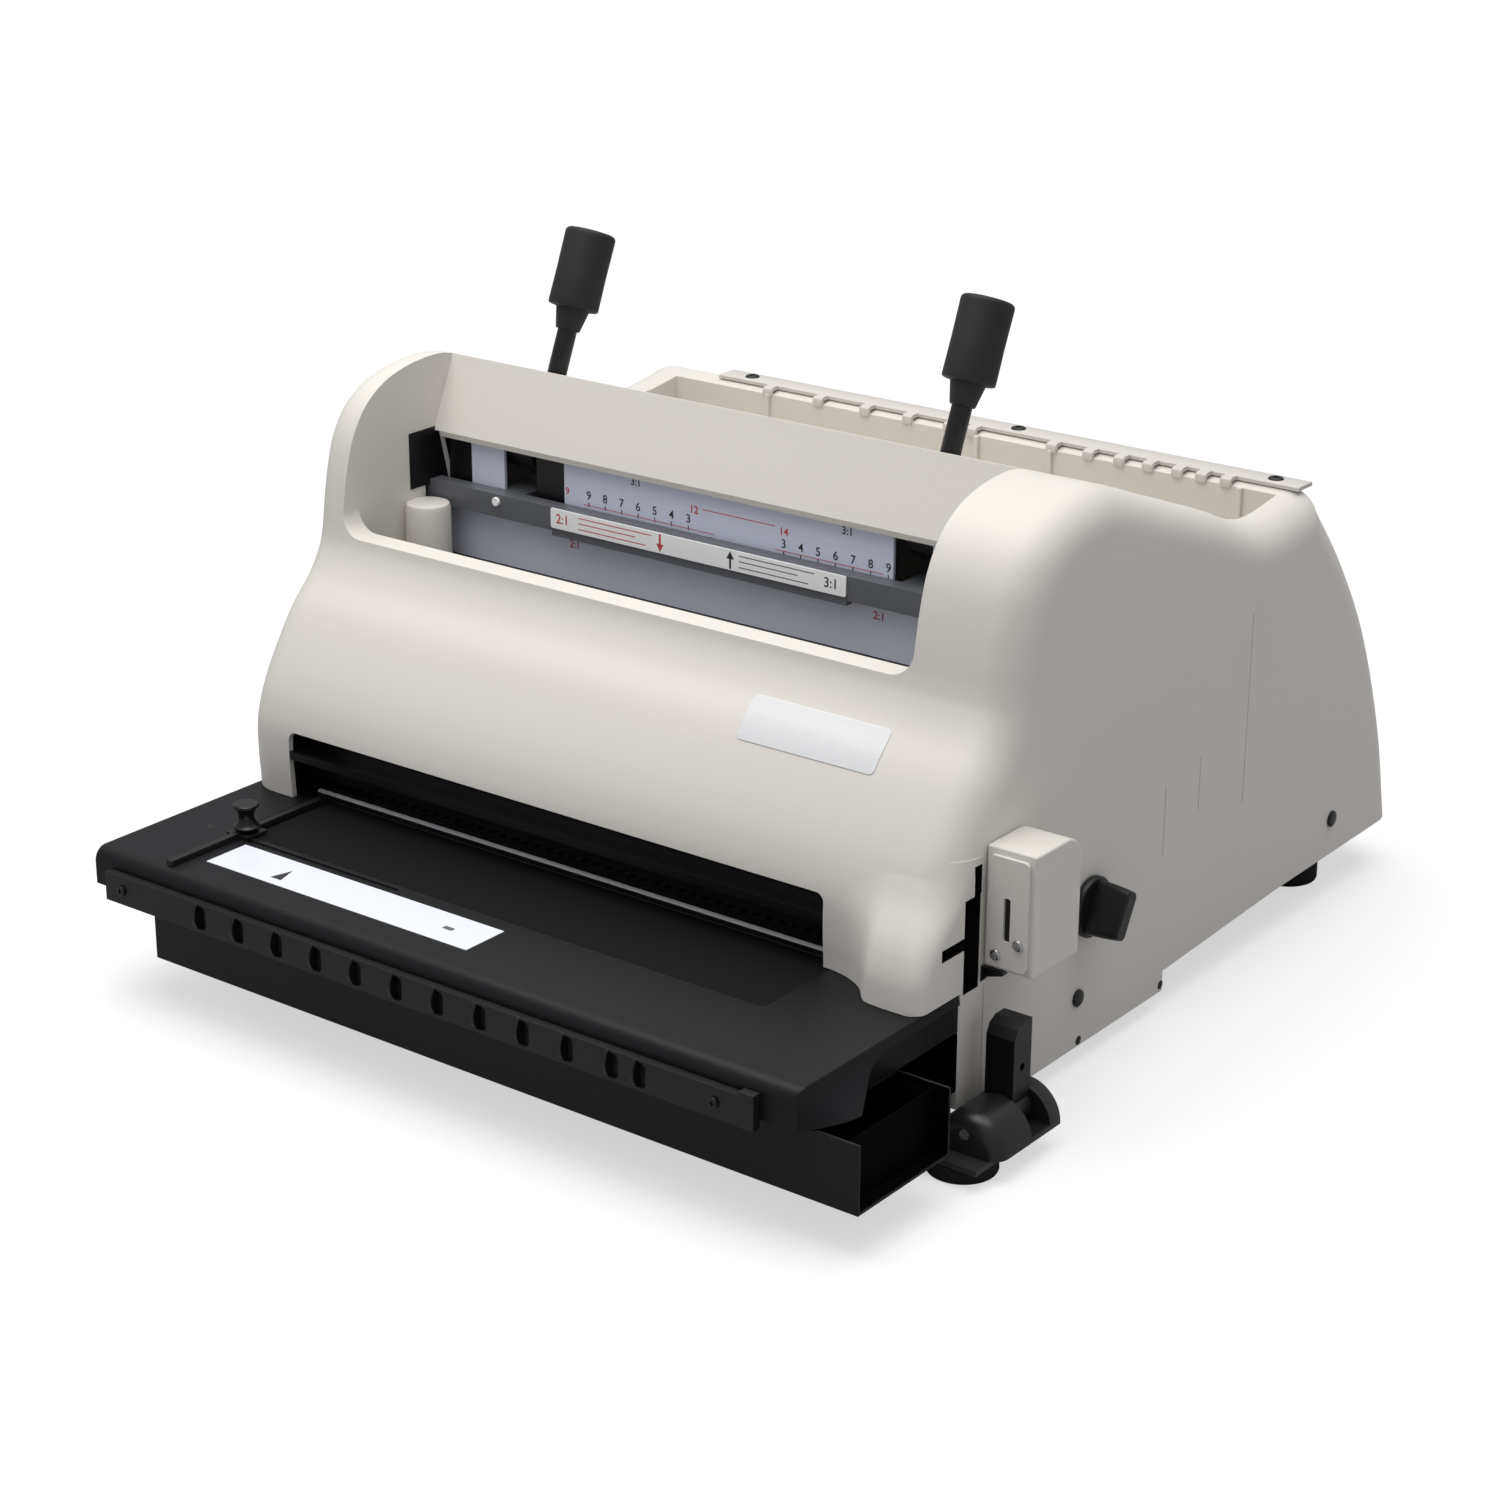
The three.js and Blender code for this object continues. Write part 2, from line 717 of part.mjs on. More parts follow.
const coverShell = cutBy(caseOuterSolid.add(toe), [
  cavity,
  prismX(bayPocket, -bayHalf, bayHalf),
  troughBox(0),
  prismX(bayHatch, -bayHalf + bayHatchSide, bayHalf - bayHatchSide),
  prismX(cheekNotch, -bayHalf - caseWall - fitGap, -bayHalf + fitGap),
  prismX(toolHole, caseRight - toeWidth + caseWall, caseRight + cutOverrun),
  prismX(skirtCut, -2 * caseLeft, 2 * caseRight),
  prismY(roundRect(-throatHalf, throatHalf, -throatHeight, throatHeight, throatCorner),
    -caseNose - cutOverrun, throatReach),
  ...leverSlots, ...grooveCuts,
  barX(knobBack, knobUp, spindleRadius + slideGap, caseRight - caseWall - cutOverrun, caseRight + cutOverrun),
  ...capSpots.map(([y, z]) => barX(y, z, capShankRadius + fitGap, caseRight - caseWall - cutOverrun,
    caseRight + cutOverrun, 10)),
  onBack(block(inletWide, inletTall, -caseWall - cutOverrun, cutOverrun), inletAcross, inletDown),
  ...gaugeScrewShares.map((s) => barZ(-gaugeLeft + s * (gaugeLeft + gaugeRight),
    gaugeFront + gaugeDepth / 2, gaugeShankRadius + fitGap, troughFloor, caseTop, 10)),
]);
const boss = barZ(-bossAcross, bossBack, bossRadius, bayFloor + fitGap, bossTop, 28);
add('main_cover', coverShell.add(boss), creamPaint);

// Gauge rail on the ridge
const ridgeTop = caseOutline[20][1];
const gaugeBottom = ridgeTop + fitGap;
const gaugeSpan = gaugeLeft + gaugeRight;
const gaugeTeeth = gaugeToothShares.slice(0, gaugeToothCount).map((s) => {
  const x = -gaugeLeft + s * gaugeSpan;
  return box(x, x + gaugeToothWide, gaugeFront - gaugeToothLong, gaugeFront + fitGap,
    gaugeBottom, gaugeBottom + gaugeThick);
});
const gaugeHoles = gaugeScrewShares.map((s) => barZ(-gaugeLeft + s * gaugeSpan, gaugeFront + gaugeDepth / 2,
  gaugeShankRadius + fitGap, gaugeBottom - cutOverrun, gaugeBottom + cutOverrun, 10));
const gaugePlate = box(-gaugeLeft, gaugeRight, gaugeFront, gaugeFront + gaugeDepth, gaugeBottom,
  gaugeBottom + gaugeThick);
add('size_gauge', cutBy(joined([gaugePlate, ...gaugeTeeth]), gaugeHoles), brightSteel);
const gaugeHeadLow = gaugeBottom + gaugeThick + fitGap;
const gaugeScrews = gaugeScrewShares.map((s) => {
  const x = -gaugeLeft + s * gaugeSpan;
  const y = gaugeFront + gaugeDepth / 2;
  return barZ(x, y, gaugeScrewRadius, gaugeHeadLow, gaugeHeadLow + gaugeScrewHead, 14).add(
    barZ(x, y, gaugeShankRadius, gaugeHeadLow - gaugeShankLong, gaugeHeadLow + fitGap, 10));
});

// Base plate, side frames and feet
const plateLow = -basePlateTop - basePlateThick;
const footSpots = [
  ['foot_rear_left', -footRearLeft, footRearPlace, plateLow - fitGap],
  ['foot_rear_right', footRearRight, footRearPlace, plateLow - fitGap],
  ['foot_front_left', -footFrontLeft, footFrontPlace, -standHeight + footFrontTall],
  ['foot_front_right', footFrontRight, footFrontPlace, -standHeight + footFrontTall],
];
for (const [name, x, y, top] of footSpots) {
  const tall = top + standHeight;
  const profile = [[0, 0], [footRadius - footEdge, 0], [footRadius, footEdge], [footRadius, tall - footEdge],
    [footRadius - footEdge, tall], [0, tall]];
  add(name, solid(spun(profile, 24).translate(x, y, -standHeight)), softRubber);
}
const baseSide = caseRight - caseWall - fitGap;
const baseLeft = caseLeft - caseWall - fitGap;
const basePlate = cutBy(box(-baseLeft, baseSide, basePlateFront, basePlateBack, plateLow, -basePlateTop),
  baseHoleAcrossShares.flatMap((sx) => baseHoleDepthShares.map((sy) => barZ(sx * baseLeft, depthAt(sy), baseHoleRadius,
    plateLow - cutOverrun, -basePlateTop + cutOverrun, 16))));
add('base_plate', basePlate, darkSteel);

const bracketTop = -standHeight + footFrontTall + fitGap + footBracketThick;
const footBeamFront = footFrontPlace - footBracketHalf;
const footBeamBack = basePlateFront + footBracketHalf;
const footBeamLow = bracketTop - footBracketThick;
const footBeamWebs = [-footBracketInner, 0, footBracketInner].map((x) => box(x, x + footBracketThick,
  footBeamFront, footBeamBack, footBeamLow, plateLow - fitGap));
add('foot_beam', joined([box(-footFrontLeft - footBracketHalf, footBracketRight, footBeamFront,
  basePlateFront - fitGap, footBeamLow, bracketTop), ...footBeamWebs]), darkSteel);

const frameBottom = -basePlateTop + fitGap;
const frameOutline = frameOutlineShares.map(([a, b]) => [
  framePlateFront + a * (framePlateBack - framePlateFront), frameBottom + b * frameHeight]);
const beamLow = combTop + fitGap;
const beamHigh = beamLow + beamThick;
const pressShaftUp = beamHigh + fitGap + pressCamStart;
const drivePitch = (driveToothCount * gearModule) / 2;
const idlerPitch = (idlerToothCount * gearModule) / 2;
const pinionPitch = (pinionToothCount * gearModule) / 2;
const along = (y, z, distance, degrees) => {
  const angle = THREE.MathUtils.degToRad(degrees);
  return [y + distance * Math.cos(angle), z + distance * Math.sin(angle)];
};
const [idlerY, idlerZ] = along(pressShaftBack, pressShaftUp, drivePitch + idlerPitch, idlerAngle);
const [pinionY, pinionZ] = along(idlerY, idlerZ, idlerPitch + pinionPitch, pinionAngle);
const bushOuter = (radius) => radius + slideGap + bushThick;
const bushSpots = [[leverBack, leverUp, leverShaftRadius],
  [pressShaftBack, pressShaftUp, pressShaftRadius]];
const bushes = (middle) => bushSpots.map(([y, z, radius]) => barX(y, z, bushOuter(radius),
  middle - bushLong / 2, middle + bushLong / 2));
const shaftHoles = (middle) => bushSpots.map(([y, z, radius]) => barX(y, z, radius + fitGap,
  middle - bushLong, middle + bushLong));
const frameInner = coreWidth;
const frameOuter = coreWidth + plateThick;
const carrierTop = -tableTall - fitGap + carrierThick;
const carrierLow = carrierTop - carrierThick;
const bedLow = carrierTop + fitGap;
const bedTop = -diePlateBottom - fitGap;
const frameMiddle = frameInner + plateThick / 2;
add('frame_left', cutBy(joined([prismX(frameOutline, -frameOuter, -frameInner), ...bushes(-frameMiddle)]),
  shaftHoles(-frameMiddle)), darkSteel);
add('frame_right', cutBy(joined([prismX(frameOutline, frameInner, frameOuter), ...bushes(frameMiddle)]), [
  ...shaftHoles(frameMiddle),
  prismX(toolHole, frameInner - cutOverrun, frameOuter + cutOverrun),
  box(frameInner - cutOverrun, frameOuter + cutOverrun, toolBack, stopBack + slideGap,
    stopLow - slideGap, stopHigh + slideGap),
  barX(pinionY, pinionZ, motorShaftRadius + slideGap, frameInner - cutOverrun, frameOuter + cutOverrun),
]).add(barX(idlerY, idlerZ, idlerPinRadius, frameInner, frameOuter + bushLong + gearWide)), darkSteel);


// Table carrier, die bed and work table
const tableInnerLeft = tableLeft - tableWall - fitGap;
const tableInnerRight = tableRight - tableWall - fitGap;
const tableInnerFront = tableFront - tableWall - fitGap;
const chipFront = pinMiddle - dieBedChipWide / 2;
const chipBack = pinMiddle + dieBedChipWide / 2;
const coreInner = frameInner - fitGap;
const carrierPlan = [
  [-tableInnerLeft, -tableInnerFront], [tableInnerRight, -tableInnerFront],
  [tableInnerRight, tableBack - slideGap], [coreInner, tableBack - slideGap], [coreInner, carrierBack],
  [-coreInner, carrierBack], [-coreInner, tableBack - slideGap], [-tableInnerLeft, tableBack - slideGap],
];
add('table_carrier', prismZ(carrierPlan, carrierLow, carrierTop).subtract(
  box(-chipSlotHalf, chipSlotHalf, chipFront, chipBack, carrierLow - cutOverrun,
    carrierTop + cutOverrun)), darkSteel);
add('die_bed', box(-coreInner, coreInner, tableBack + slideGap, carrierBack, bedLow, bedTop).subtract(
  box(-chipSlotHalf, chipSlotHalf, chipFront, chipBack, bedLow - cutOverrun,
    bedTop + cutOverrun)), darkSteel);

const noseArc = Array.from({ length: tableNoseSteps + 1 }, (_, i) => {
  const angle = (Math.PI / 2) * (i / tableNoseSteps);
  return [-tableFront + tableNose - tableNose * Math.cos(angle), -tableNose + tableNose * Math.sin(angle)];
});
const tableProfile = [[-tableFront, -tableTall], ...noseArc, [tableBack, 0], [tableBack, -tableTall]];
const tableHollow = box(-tableLeft + tableWall, tableRight - tableWall, -tableFront + tableWall,
  tableBack + cutOverrun, -tableTall - cutOverrun, -tableNose);
const tableHollowTop = box(-tableLeft + tableWall, tableRight - tableWall, -tableFront + tableNose,
  tableBack + cutOverrun, -tableNose - fitGap, -tableWall);
const tableRibs = tableRibShares.map((s) => {
  const x = -tableLeft + s * (tableLeft + tableRight);
  return box(x, x + tableWall, -tableFront + tableWall / 2, tableBack - slideGap, carrierTop + fitGap,
    -tableWall + fitGap);
});
const apron = solid(new ConvexGeometry([
  [tableRight - tableWall, -tableFront, -tableWall], [tableRight, -tableFront + fitGap, -fitGap],
  [tableRight, -tableFront + apronLong, -fitGap], [tableRight - tableWall, -tableFront + apronLong, -tableWall],
  [tableRight - tableWall, -tableFront, -tableTall], [tableRight + fitGap, -tableFront, -tableTall],
  [tableRight + apronReach, -tableFront + apronPeakShare * apronLong, -tableTall],
  [tableRight + apronReach * apronTailShare, -tableFront + apronTailShare * apronLong,
    -tableTall * apronTailShare],
  [tableRight - tableWall, -tableFront + apronTailShare * apronLong, -tableTall],
].map((p) => new THREE.Vector3(...p))));
add('work_table', cutBy(joined([
  cutBy(prismX(tableProfile, -tableLeft, tableRight), [tableHollow, tableHollowTop]), ...tableRibs, apron]), [
  box(-panelLeft, panelRight, -panelFront, -panelFront + panelDepth, -panelSink, cutOverrun),
  box(-grooveLeft, -grooveLeft + grooveLong, -grooveFront + grooveWide, -grooveFront + 2 * grooveWide,
    -grooveSink, cutOverrun),
  box(-stripLeft - fitGap, -stripLeft + stripLong + fitGap, -stripFront - fitGap,
    -stripFront + stripDepth + fitGap, -stripSink - fitGap, cutOverrun),
]), blackPlastic);
add('scale_strip', box(-stripLeft, -stripLeft + stripLong, -stripFront, -stripFront + stripDepth,
  -stripSink, -stripSink + stripThick), whiteLabel);

// Wire holder bar with its hooks and screws
const holderBack = -tableFront - fitGap;
const holderFront = holderBack - holderThick;
const holderEnd = -holderLeft + holderLong;
const hookSpots = Array.from({ length: hookCount }, (_, i) => -hookFirst + i * hookPitch).concat([hookLast]);
const hooks = hookSpots.map((x) => barX(holderFront, -hookCentreDrop, hookRadius, x, x + hookThick, 20)
  .intersect(box(x - cutOverrun, x + cutOverrun, holderFront - hookReach, holderFront + fitGap,
    -holderTop - holderTall, -holderTop + hookReach)));
add('wire_holder_bar', joined([
  box(-holderLeft, holderEnd, holderFront, holderBack, -holderTop - holderTall, -holderTop),
  box(holderEnd - fitGap, holderEnd + holderBlockLong, holderFront - fitGap, holderBack,
    -holderBlockTop - holderBlockTall, -holderBlockTop), ...hooks]), blackPlastic);
const holderScrews = holderScrewShares.map((s) => barY(-holderLeft + s * holderLong,
  -holderTop - holderTall / 2, holderScrewRadius, holderFront - fitGap - holderScrewThick,
  holderFront - fitGap, 12));

// Chip sleeve, drawer and chute
const sleeveOuter = box(-sleeveLeft, sleeveRight, -sleeveFront, -sleeveBack, -sleeveBottom, -sleeveTop);
const sleeveInner = box(-sleeveLeft + sleeveWall, sleeveRight + cutOverrun, -sleeveFront + sleeveWall,
  -sleeveBack - sleeveWall, -sleeveBottom + sleeveWall, -sleeveTop - sleeveWall);
const sleeveWindow = box(-sleeveWindowHalf, sleeveWindowHalf, -sleeveBack - 2 * sleeveWall,
  -sleeveBack + cutOverrun, -sleeveWindowLow, -sleeveTop - sleeveWall);
add('chip_sleeve', cutBy(sleeveOuter, [sleeveInner, sleeveWindow]), blackPlastic);
const drawerLeft = -sleeveLeft + sleeveWall + slideGap;
const drawerRight = sleeveRight - drawerShort;
const drawerFront = -sleeveFront + sleeveWall + slideGap;
const drawerBack = -sleeveBack - sleeveWall - slideGap;
const drawerLow = -sleeveBottom + sleeveWall + fitGap;
const drawerHigh = drawerLow + drawerTall;
const drawerMiddle = (drawerFront + drawerBack) / 2;
add('chip_drawer', cutBy(box(drawerLeft, drawerRight, drawerFront, drawerBack, drawerLow, drawerHigh), [
  box(drawerLeft + drawerWall, drawerRight - drawerWall, drawerFront + drawerWall, drawerBack - drawerWall,
    drawerLow + drawerWall, drawerHigh + cutOverrun),
  box(drawerLeft - cutOverrun, sleeveWindowHalf, drawerBack - 2 * drawerWall, drawerBack + cutOverrun,
    drawerLow + drawerRearTall, drawerHigh + cutOverrun),
  box(drawerRight - 2 * drawerWall, drawerRight + cutOverrun, drawerMiddle - drawerGripWide / 2,
    drawerMiddle + drawerGripWide / 2, drawerHigh - drawerGripTall, drawerHigh + cutOverrun),
]), blackPlastic);
const chuteTop = 2 * fitGap - carrierLow;
const chuteProfile = [
  [-chuteFront, -chuteTop - chuteFall], [chuteBack - chuteThick, -chuteTop - fitGap - chuteThick],
  [chuteBack - chuteThick, -chuteTop + fitGap], [chuteBack, -chuteTop + fitGap],
  [chuteBack, -chuteTop - fitGap - 2 * chuteThick], [-chuteFront, -chuteTop - chuteFall - chuteThick],
];
add('chip_chute', prismX(chuteProfile, -chuteHalf, chuteHalf), darkSteel);

// Edge guide and its clamp knob
const guideHalf = guideWide / 2;
const spoolLow = fitGap + guideTall + fitGap;
add('edge_guide', box(-guidePlace - guideHalf, -guidePlace + guideHalf, -guideFront, -guideFront + guideLong,
  fitGap, fitGap + guideTall).add(box(-guidePlace - guideFootHalf, -guidePlace + guideFootHalf,
  -knobPlace - guideFootHalf, -knobPlace + guideFootHalf, fitGap, fitGap + guideFootThick)).subtract(
  barZ(-guidePlace, -knobPlace, knobStemRadius / 2 + fitGap, -cutOverrun, guideTall + cutOverrun, 12)), blackPlastic);
const spoolTop = spoolLow + spoolTall;
add('guide_clamp_knob', solid(spun([[0, spoolLow - guideTall], [knobStemRadius / 2, spoolLow - guideTall],
  [knobStemRadius / 2, spoolLow], [spoolFlangeRadius, spoolLow],
  [spoolFlangeRadius, spoolLow + spoolFlangeThick], [spoolWaistRadius, spoolLow + 2 * spoolFlangeThick],
  [spoolWaistRadius, spoolTop - 2 * spoolFlangeThick], [spoolFlangeRadius, spoolTop - spoolFlangeThick],
  [spoolFlangeRadius, spoolTop - fitGap], [spoolFlangeRadius - fitGap, spoolTop], [0, spoolTop]], 24)
  .translate(-guidePlace, -knobPlace, 0)), blackPlastic);

// Punching tool: die plate, guide block and comb of pins
const slitHigh = slitBottom + slitTall;
const pinSpots = Array.from({ length: pinCount }, (_, i) => (i - (pinCount - 1) / 2) * pinPitch);
const pinHoles = (z0, z1) => pinSpots.map((x) => box(x - pinSide / 2 - pinSlack, x + pinSide / 2 + pinSlack,
  pinMiddle - pinSide / 2 - pinSlack, pinMiddle + pinSide / 2 + pinSlack, z0, z1));
const spacers = [[-toolLeft, -toolLeft + spacerLong], [toolRight - spacerLong, toolRight]];
add('die_plate', cutBy(joined([
  box(-toolLeft, toolRight, toolFront, toolBack, -diePlateBottom, slitBottom),
  ...spacers.map(([a, b]) => box(a, b, toolFront, spacerBack, slitBottom - fitGap, slitHigh - fitGap)),
]), pinHoles(-diePlateBottom - cutOverrun, slitBottom + cutOverrun)), brightSteel);
const guideProfile = [
  [toolFront, slitHigh], [toolBack, slitHigh], [toolBack, guideBlockTop],
  [toolFront + guideWallWide, guideBlockTop], [toolFront + guideWallWide, flangeHigh],
  [flangeFront, flangeHigh], [flangeFront, flangeLow], [toolFront, flangeLow],
];
add('guide_block', cutBy(prismX(guideProfile, -toolLeft, toolRight),
  pinHoles(slitHigh - cutOverrun, guideBlockTop + fitGap)), darkSteel);
const combFront = toolFront + guideWallWide + slideGap;
const combProfile = [
  [combFront, combLow], [toolBack, combLow], [toolBack, combStep], [combRailBack, combStep],
  [combRailBack, combTop], [combRailFront, combTop], [combRailFront, combStep], [combFront, combStep],
];
add('punch_comb', joined([prismX(combProfile, -toolLeft + fitGap, combRight), ...pinSpots.map((x) => box(
  x - pinSide / 2, x + pinSide / 2, pinMiddle - pinSide / 2, pinMiddle + pinSide / 2, pinTip,
  combLow + fitGap))]), brightSteel);

// Press beam, cam shaft and gears
add('press_beam', box(-beamHalf, beamHalf, beamFront, beamBack, beamLow, beamHigh), darkSteel);
const pressRate = pressLift / Math.PI;
const heart = reachOutline(Array.from({ length: pressCamSteps }, (_, i) => {
  const angle = -Math.PI + (2 * Math.PI * i) / pressCamSteps;
  return [angle, pressCamStart + pressRate * Math.abs(angle)];
}), [pressShaftBack, pressShaftUp]);
const gearFrom = frameOuter + bushLong / 2;
const gearTo = gearFrom + gearWide;
const pressShaft = joined([
  barX(pressShaftBack, pressShaftUp, pressShaftRadius, -frameOuter - bushLong / 2, gearTo + slideGap),
  ...pressCamShares.map((s) => prismX(heart, s * beamHalf - pressCamWide / 2, s * beamHalf + pressCamWide / 2)),
]);
add('press_shaft', pressShaft, brightSteel);

function gear(y, z, toothCount, bore, firstAngle, from, to) {
  const pitch = (toothCount * gearModule) / 2;
  const root = pitch - gearModule;
  const tip = pitch + gearModule * toothTipRise;
  const step = (2 * Math.PI) / toothCount;
  const points = Array.from({ length: toothCount }, (_, i) => i * step + firstAngle).flatMap((middle) => [
    [root, -toothRootShare], [tip, -toothTipShare], [tip, toothTipShare], [root, toothRootShare]].map(([radius, share]) => [
    y + radius * Math.cos(middle + share * step), z + radius * Math.sin(middle + share * step)]));
  return prismX(points, from, to).subtract(barX(y, z, bore, from - cutOverrun, to + cutOverrun));
}
const radians = THREE.MathUtils.degToRad;
const driveFirst = radians(idlerAngle);
const idlerFirst = Math.PI + radians(idlerAngle) + Math.PI / idlerToothCount;
const idlerStep = (2 * Math.PI) / idlerToothCount;
const idlerAtPinion = (radians(pinionAngle) - idlerFirst) / idlerStep;
const idlerPhase = idlerAtPinion - Math.round(idlerAtPinion);
const pinionFirst = Math.PI + radians(pinionAngle) + (Math.PI + 2 * Math.PI * idlerPhase) / pinionToothCount;
add('drive_gear', gear(pressShaftBack, pressShaftUp, driveToothCount, pressShaftRadius + fitGap, driveFirst,
  gearFrom, gearTo), brightSteel);
add('idler_gear', gear(idlerY, idlerZ, idlerToothCount, idlerPinRadius + fitGap, idlerFirst, gearFrom, gearTo),
  brightSteel);
add('motor_pinion', gear(pinionY, pinionZ, pinionToothCount, fitGap, pinionFirst, gearFrom, gearTo).add(
  barX(pinionY, pinionZ, motorShaftRadius, frameInner - cutOverrun, gearTo)), brightSteel);
const motorEnd = frameInner - fitGap;
const motorFrom = motorEnd - motorLong;
const motorBody = joined([
  barX(pinionY, pinionZ, motorRadius, motorFrom + motorCapLong, motorEnd, 28),
  barX(pinionY, pinionZ, motorCapRadius, motorFrom, motorFrom + motorCapLong + fitGap, 28),
]).subtract(barX(pinionY, pinionZ, motorShaftRadius + slideGap, motorEnd - cutOverrun - slideGap,
  motorEnd + cutOverrun));
add('motor', motorBody, darkSteel);
const cradleLow = frameBottom;
add('motor_cradle', box(motorFrom + motorCapLong + cutOverrun, motorEnd - cutOverrun,
  pinionY - motorBracketWide / 2, pinionY + motorBracketWide / 2, cradleLow, pinionZ - motorRadius / 2)
  .subtract(barX(pinionY, pinionZ, motorRadius + fitGap, motorFrom, motorEnd, 28)), darkSteel);

// Closing levers
const closeRate = closeStroke / radians(leverSwing);
const closeReaches = [
  ...Array.from({ length: closeCamSteps + 1 }, (_, i) => {
    const angle = (radians(leverSwing) * i) / closeCamSteps;
    return [angle, closeCamStart + closeRate * angle];
  }),
  ...Array.from({ length: closeCamSteps }, (_, i) => {
    const angle = radians(camReturn) + (i * (2 * Math.PI - radians(camReturn))) / closeCamSteps;
    return [angle, leverHub];
  }),
];
const camOutline = reachOutline(closeReaches, [leverBack, leverUp]);
add('lever_shaft', barX(leverBack, leverUp, leverShaftRadius, -leverShaftHalf, leverShaftHalf), brightSteel);
const leaned = (geometry, x) => solid(geometry.rotateX(-radians(leverLean)).translate(x, leverBack, leverUp));
for (const [side, sign] of [['left', -1], ['right', 1]]) {
  const middle = sign * leverPlace;
  const rodAt = sign * rodOffset;
  const hubBore = barX(leverBack, leverUp, leverShaftRadius + fitGap, middle - leverBlockWide,
    middle + leverBlockWide);
  const rodBore = leaned(spun([[0, leverShaftRadius], [rodRadius + fitGap, leverShaftRadius],
    [rodRadius + fitGap, rodLong], [0, rodLong]], 16), rodAt);
  add(`lever_block_${side}`, cutBy(prismX(camOutline, middle - leverBlockWide / 2,
    middle + leverBlockWide / 2), [hubBore, rodBore]), blackPlastic);
  add(`lever_rod_${side}`, leaned(spun([[0, leverShaftRadius + 2 * fitGap],
    [rodRadius, leverShaftRadius + 2 * fitGap], [rodRadius, rodLong - fitGap], [0, rodLong - fitGap]], 16),
  rodAt), blackPlastic);
  const neckBore = rodRadius + fitGap;
  const gripTop = rodLong + gripLong;
  add(`lever_grip_${side}`, leaned(spun([[neckBore, neckStart], [neckRadius - fitGap, neckStart],
    [neckRadius, rodLong - fitGap], [gripRadius - fitGap * 4, rodLong + gripRound / 3],
    [gripRadius, rodLong + gripRound], [gripRadius, gripTop - gripRound],
    [gripRadius - gripRound / 3, gripTop - gripRound / 3], [gripRadius - gripRound, gripTop],
    [0, gripTop], [0, rodLong], [neckBore, rodLong], [neckBore, neckStart]], 24), rodAt), blackPlastic);
}

// Closing bar, bay plates and shelf
const barBack = barFront + barThick;
const lugs = [-1, 1].map((sign) => box(sign * leverPlace - lugHalf, sign * leverPlace + lugHalf,
  barBack - fitGap, lugBack, barHigh - lugThick, barHigh));
add('closing_bar', joined([box(-barLeft, barRight, barFront, barBack, barLow, barHigh),
  box(-labelHalf, labelHalf, barFront, barFront + barLipDeep, barLow - barLipTall, barLow + fitGap), ...lugs]),
darkSteel);
add('bar_label', box(-labelHalf, labelHalf, barFront - fitGap - labelThick, barFront - fitGap, labelLow,
  barHigh), whiteLabel);
const plateBack = bayPlateFront + bayPlateThick;
add('scale_plate', cutBy(box(-bayPlateHalf, bayPlateHalf, bayPlateFront, plateBack, bayPlateSplit, bayPlateTop),
  [-1, 1].map((sign) => box(sign * leverPlace - bayPlateSlotHalf, sign * leverPlace + bayPlateSlotHalf,
    bayPlateFront - cutOverrun, plateBack + cutOverrun, bayPlateSplit - cutOverrun, bayPlateSlotTop))),
greyPaint);
add('wire_backplate', box(-bayPlateHalf, bayPlateHalf, bayPlateFront, plateBack, bayFloor + fitGap,
  bayPlateSplit - fitGap), greyPaint);
const shelfLow = bayFloor - shelfThick;
const shelfEarFront = bayBack + caseWall + fitGap;
const shelfEars = [-1, 1].map((sign) => {
  const edge = [sign * coreInner, sign * (bayPlateHalf - plateThick)].sort((a, b) => a - b);
  return box(edge[0], edge[1], shelfEarFront, shelfEarFront + shelfEarDeep, shelfLow, shelfLow + shelfEarTall);
});
add('anvil_shelf', joined([box(-bayPlateHalf, bayPlateHalf, bayHatchFront + fitGap, plateBack, shelfLow,
  bayFloor), box(-bayPlateHalf, bayPlateHalf, plateBack - fitGap, shelfEarFront + shelfEarDeep, shelfLow,
  bayFloor), ...shelfEars]), darkSteel);

// Cover over the tool's end with its front plate and screws
const boxInner = caseRight + fitGap;
const boxOutline = [
  [boxFront, boxBottom], [boxBack, boxBottom], [boxBack, boxHigh - boxRound],
  [boxBack - boxRound / 3, boxHigh - boxRound / 3], [boxBack - boxRound, boxHigh], [boxFront, boxHigh],
];
const boxCavity = grown(boxOutline, -boxWall);
const boxPlateMiddle = (boxPlateHigh + boxPlateLow) / 2 - boxPlateSlitWide;
add('tool_end_cover', prismX(boxOutline, boxInner, boxRight).subtract(
  prismX(boxCavity, boxInner - cutOverrun, boxRight - boxWall)), creamPaint);
const boxPlateBack = boxFront - fitGap;
add('end_cover_plate', cutBy(box(boxInner + boxPlateSide, boxRight - boxPlateSide,
  boxPlateBack - boxPlateThick, boxPlateBack, boxPlateLow, boxPlateHigh), [
  box(boxRight - 3 * boxPlateSide, boxRight - 3 * boxPlateSide + boxPlateSlitWide,
    boxPlateBack - boxPlateThick - cutOverrun, boxPlateBack + cutOverrun,
    boxPlateMiddle - boxPlateSlitTall / 2, boxPlateMiddle + boxPlateSlitTall / 2),
]), creamPaint);
const boxScrews = boxScrewShares.map(([a, b]) => barY(
  boxInner + a * boxPlateSide, b * boxPlateLow, boxScrewRadius,
  boxPlateBack - boxPlateThick - fitGap - boxScrewThick, boxPlateBack - boxPlateThick - fitGap, 14));
for (const [name, screws] of [['gauge_screw', gaugeScrews], ['holder_screw', holderScrews],
  ['end_cover_screw', boxScrews]]) {
  screws.forEach((screw, i) => add(`${name}_${i + 1}`, screw, brightSteel));
}

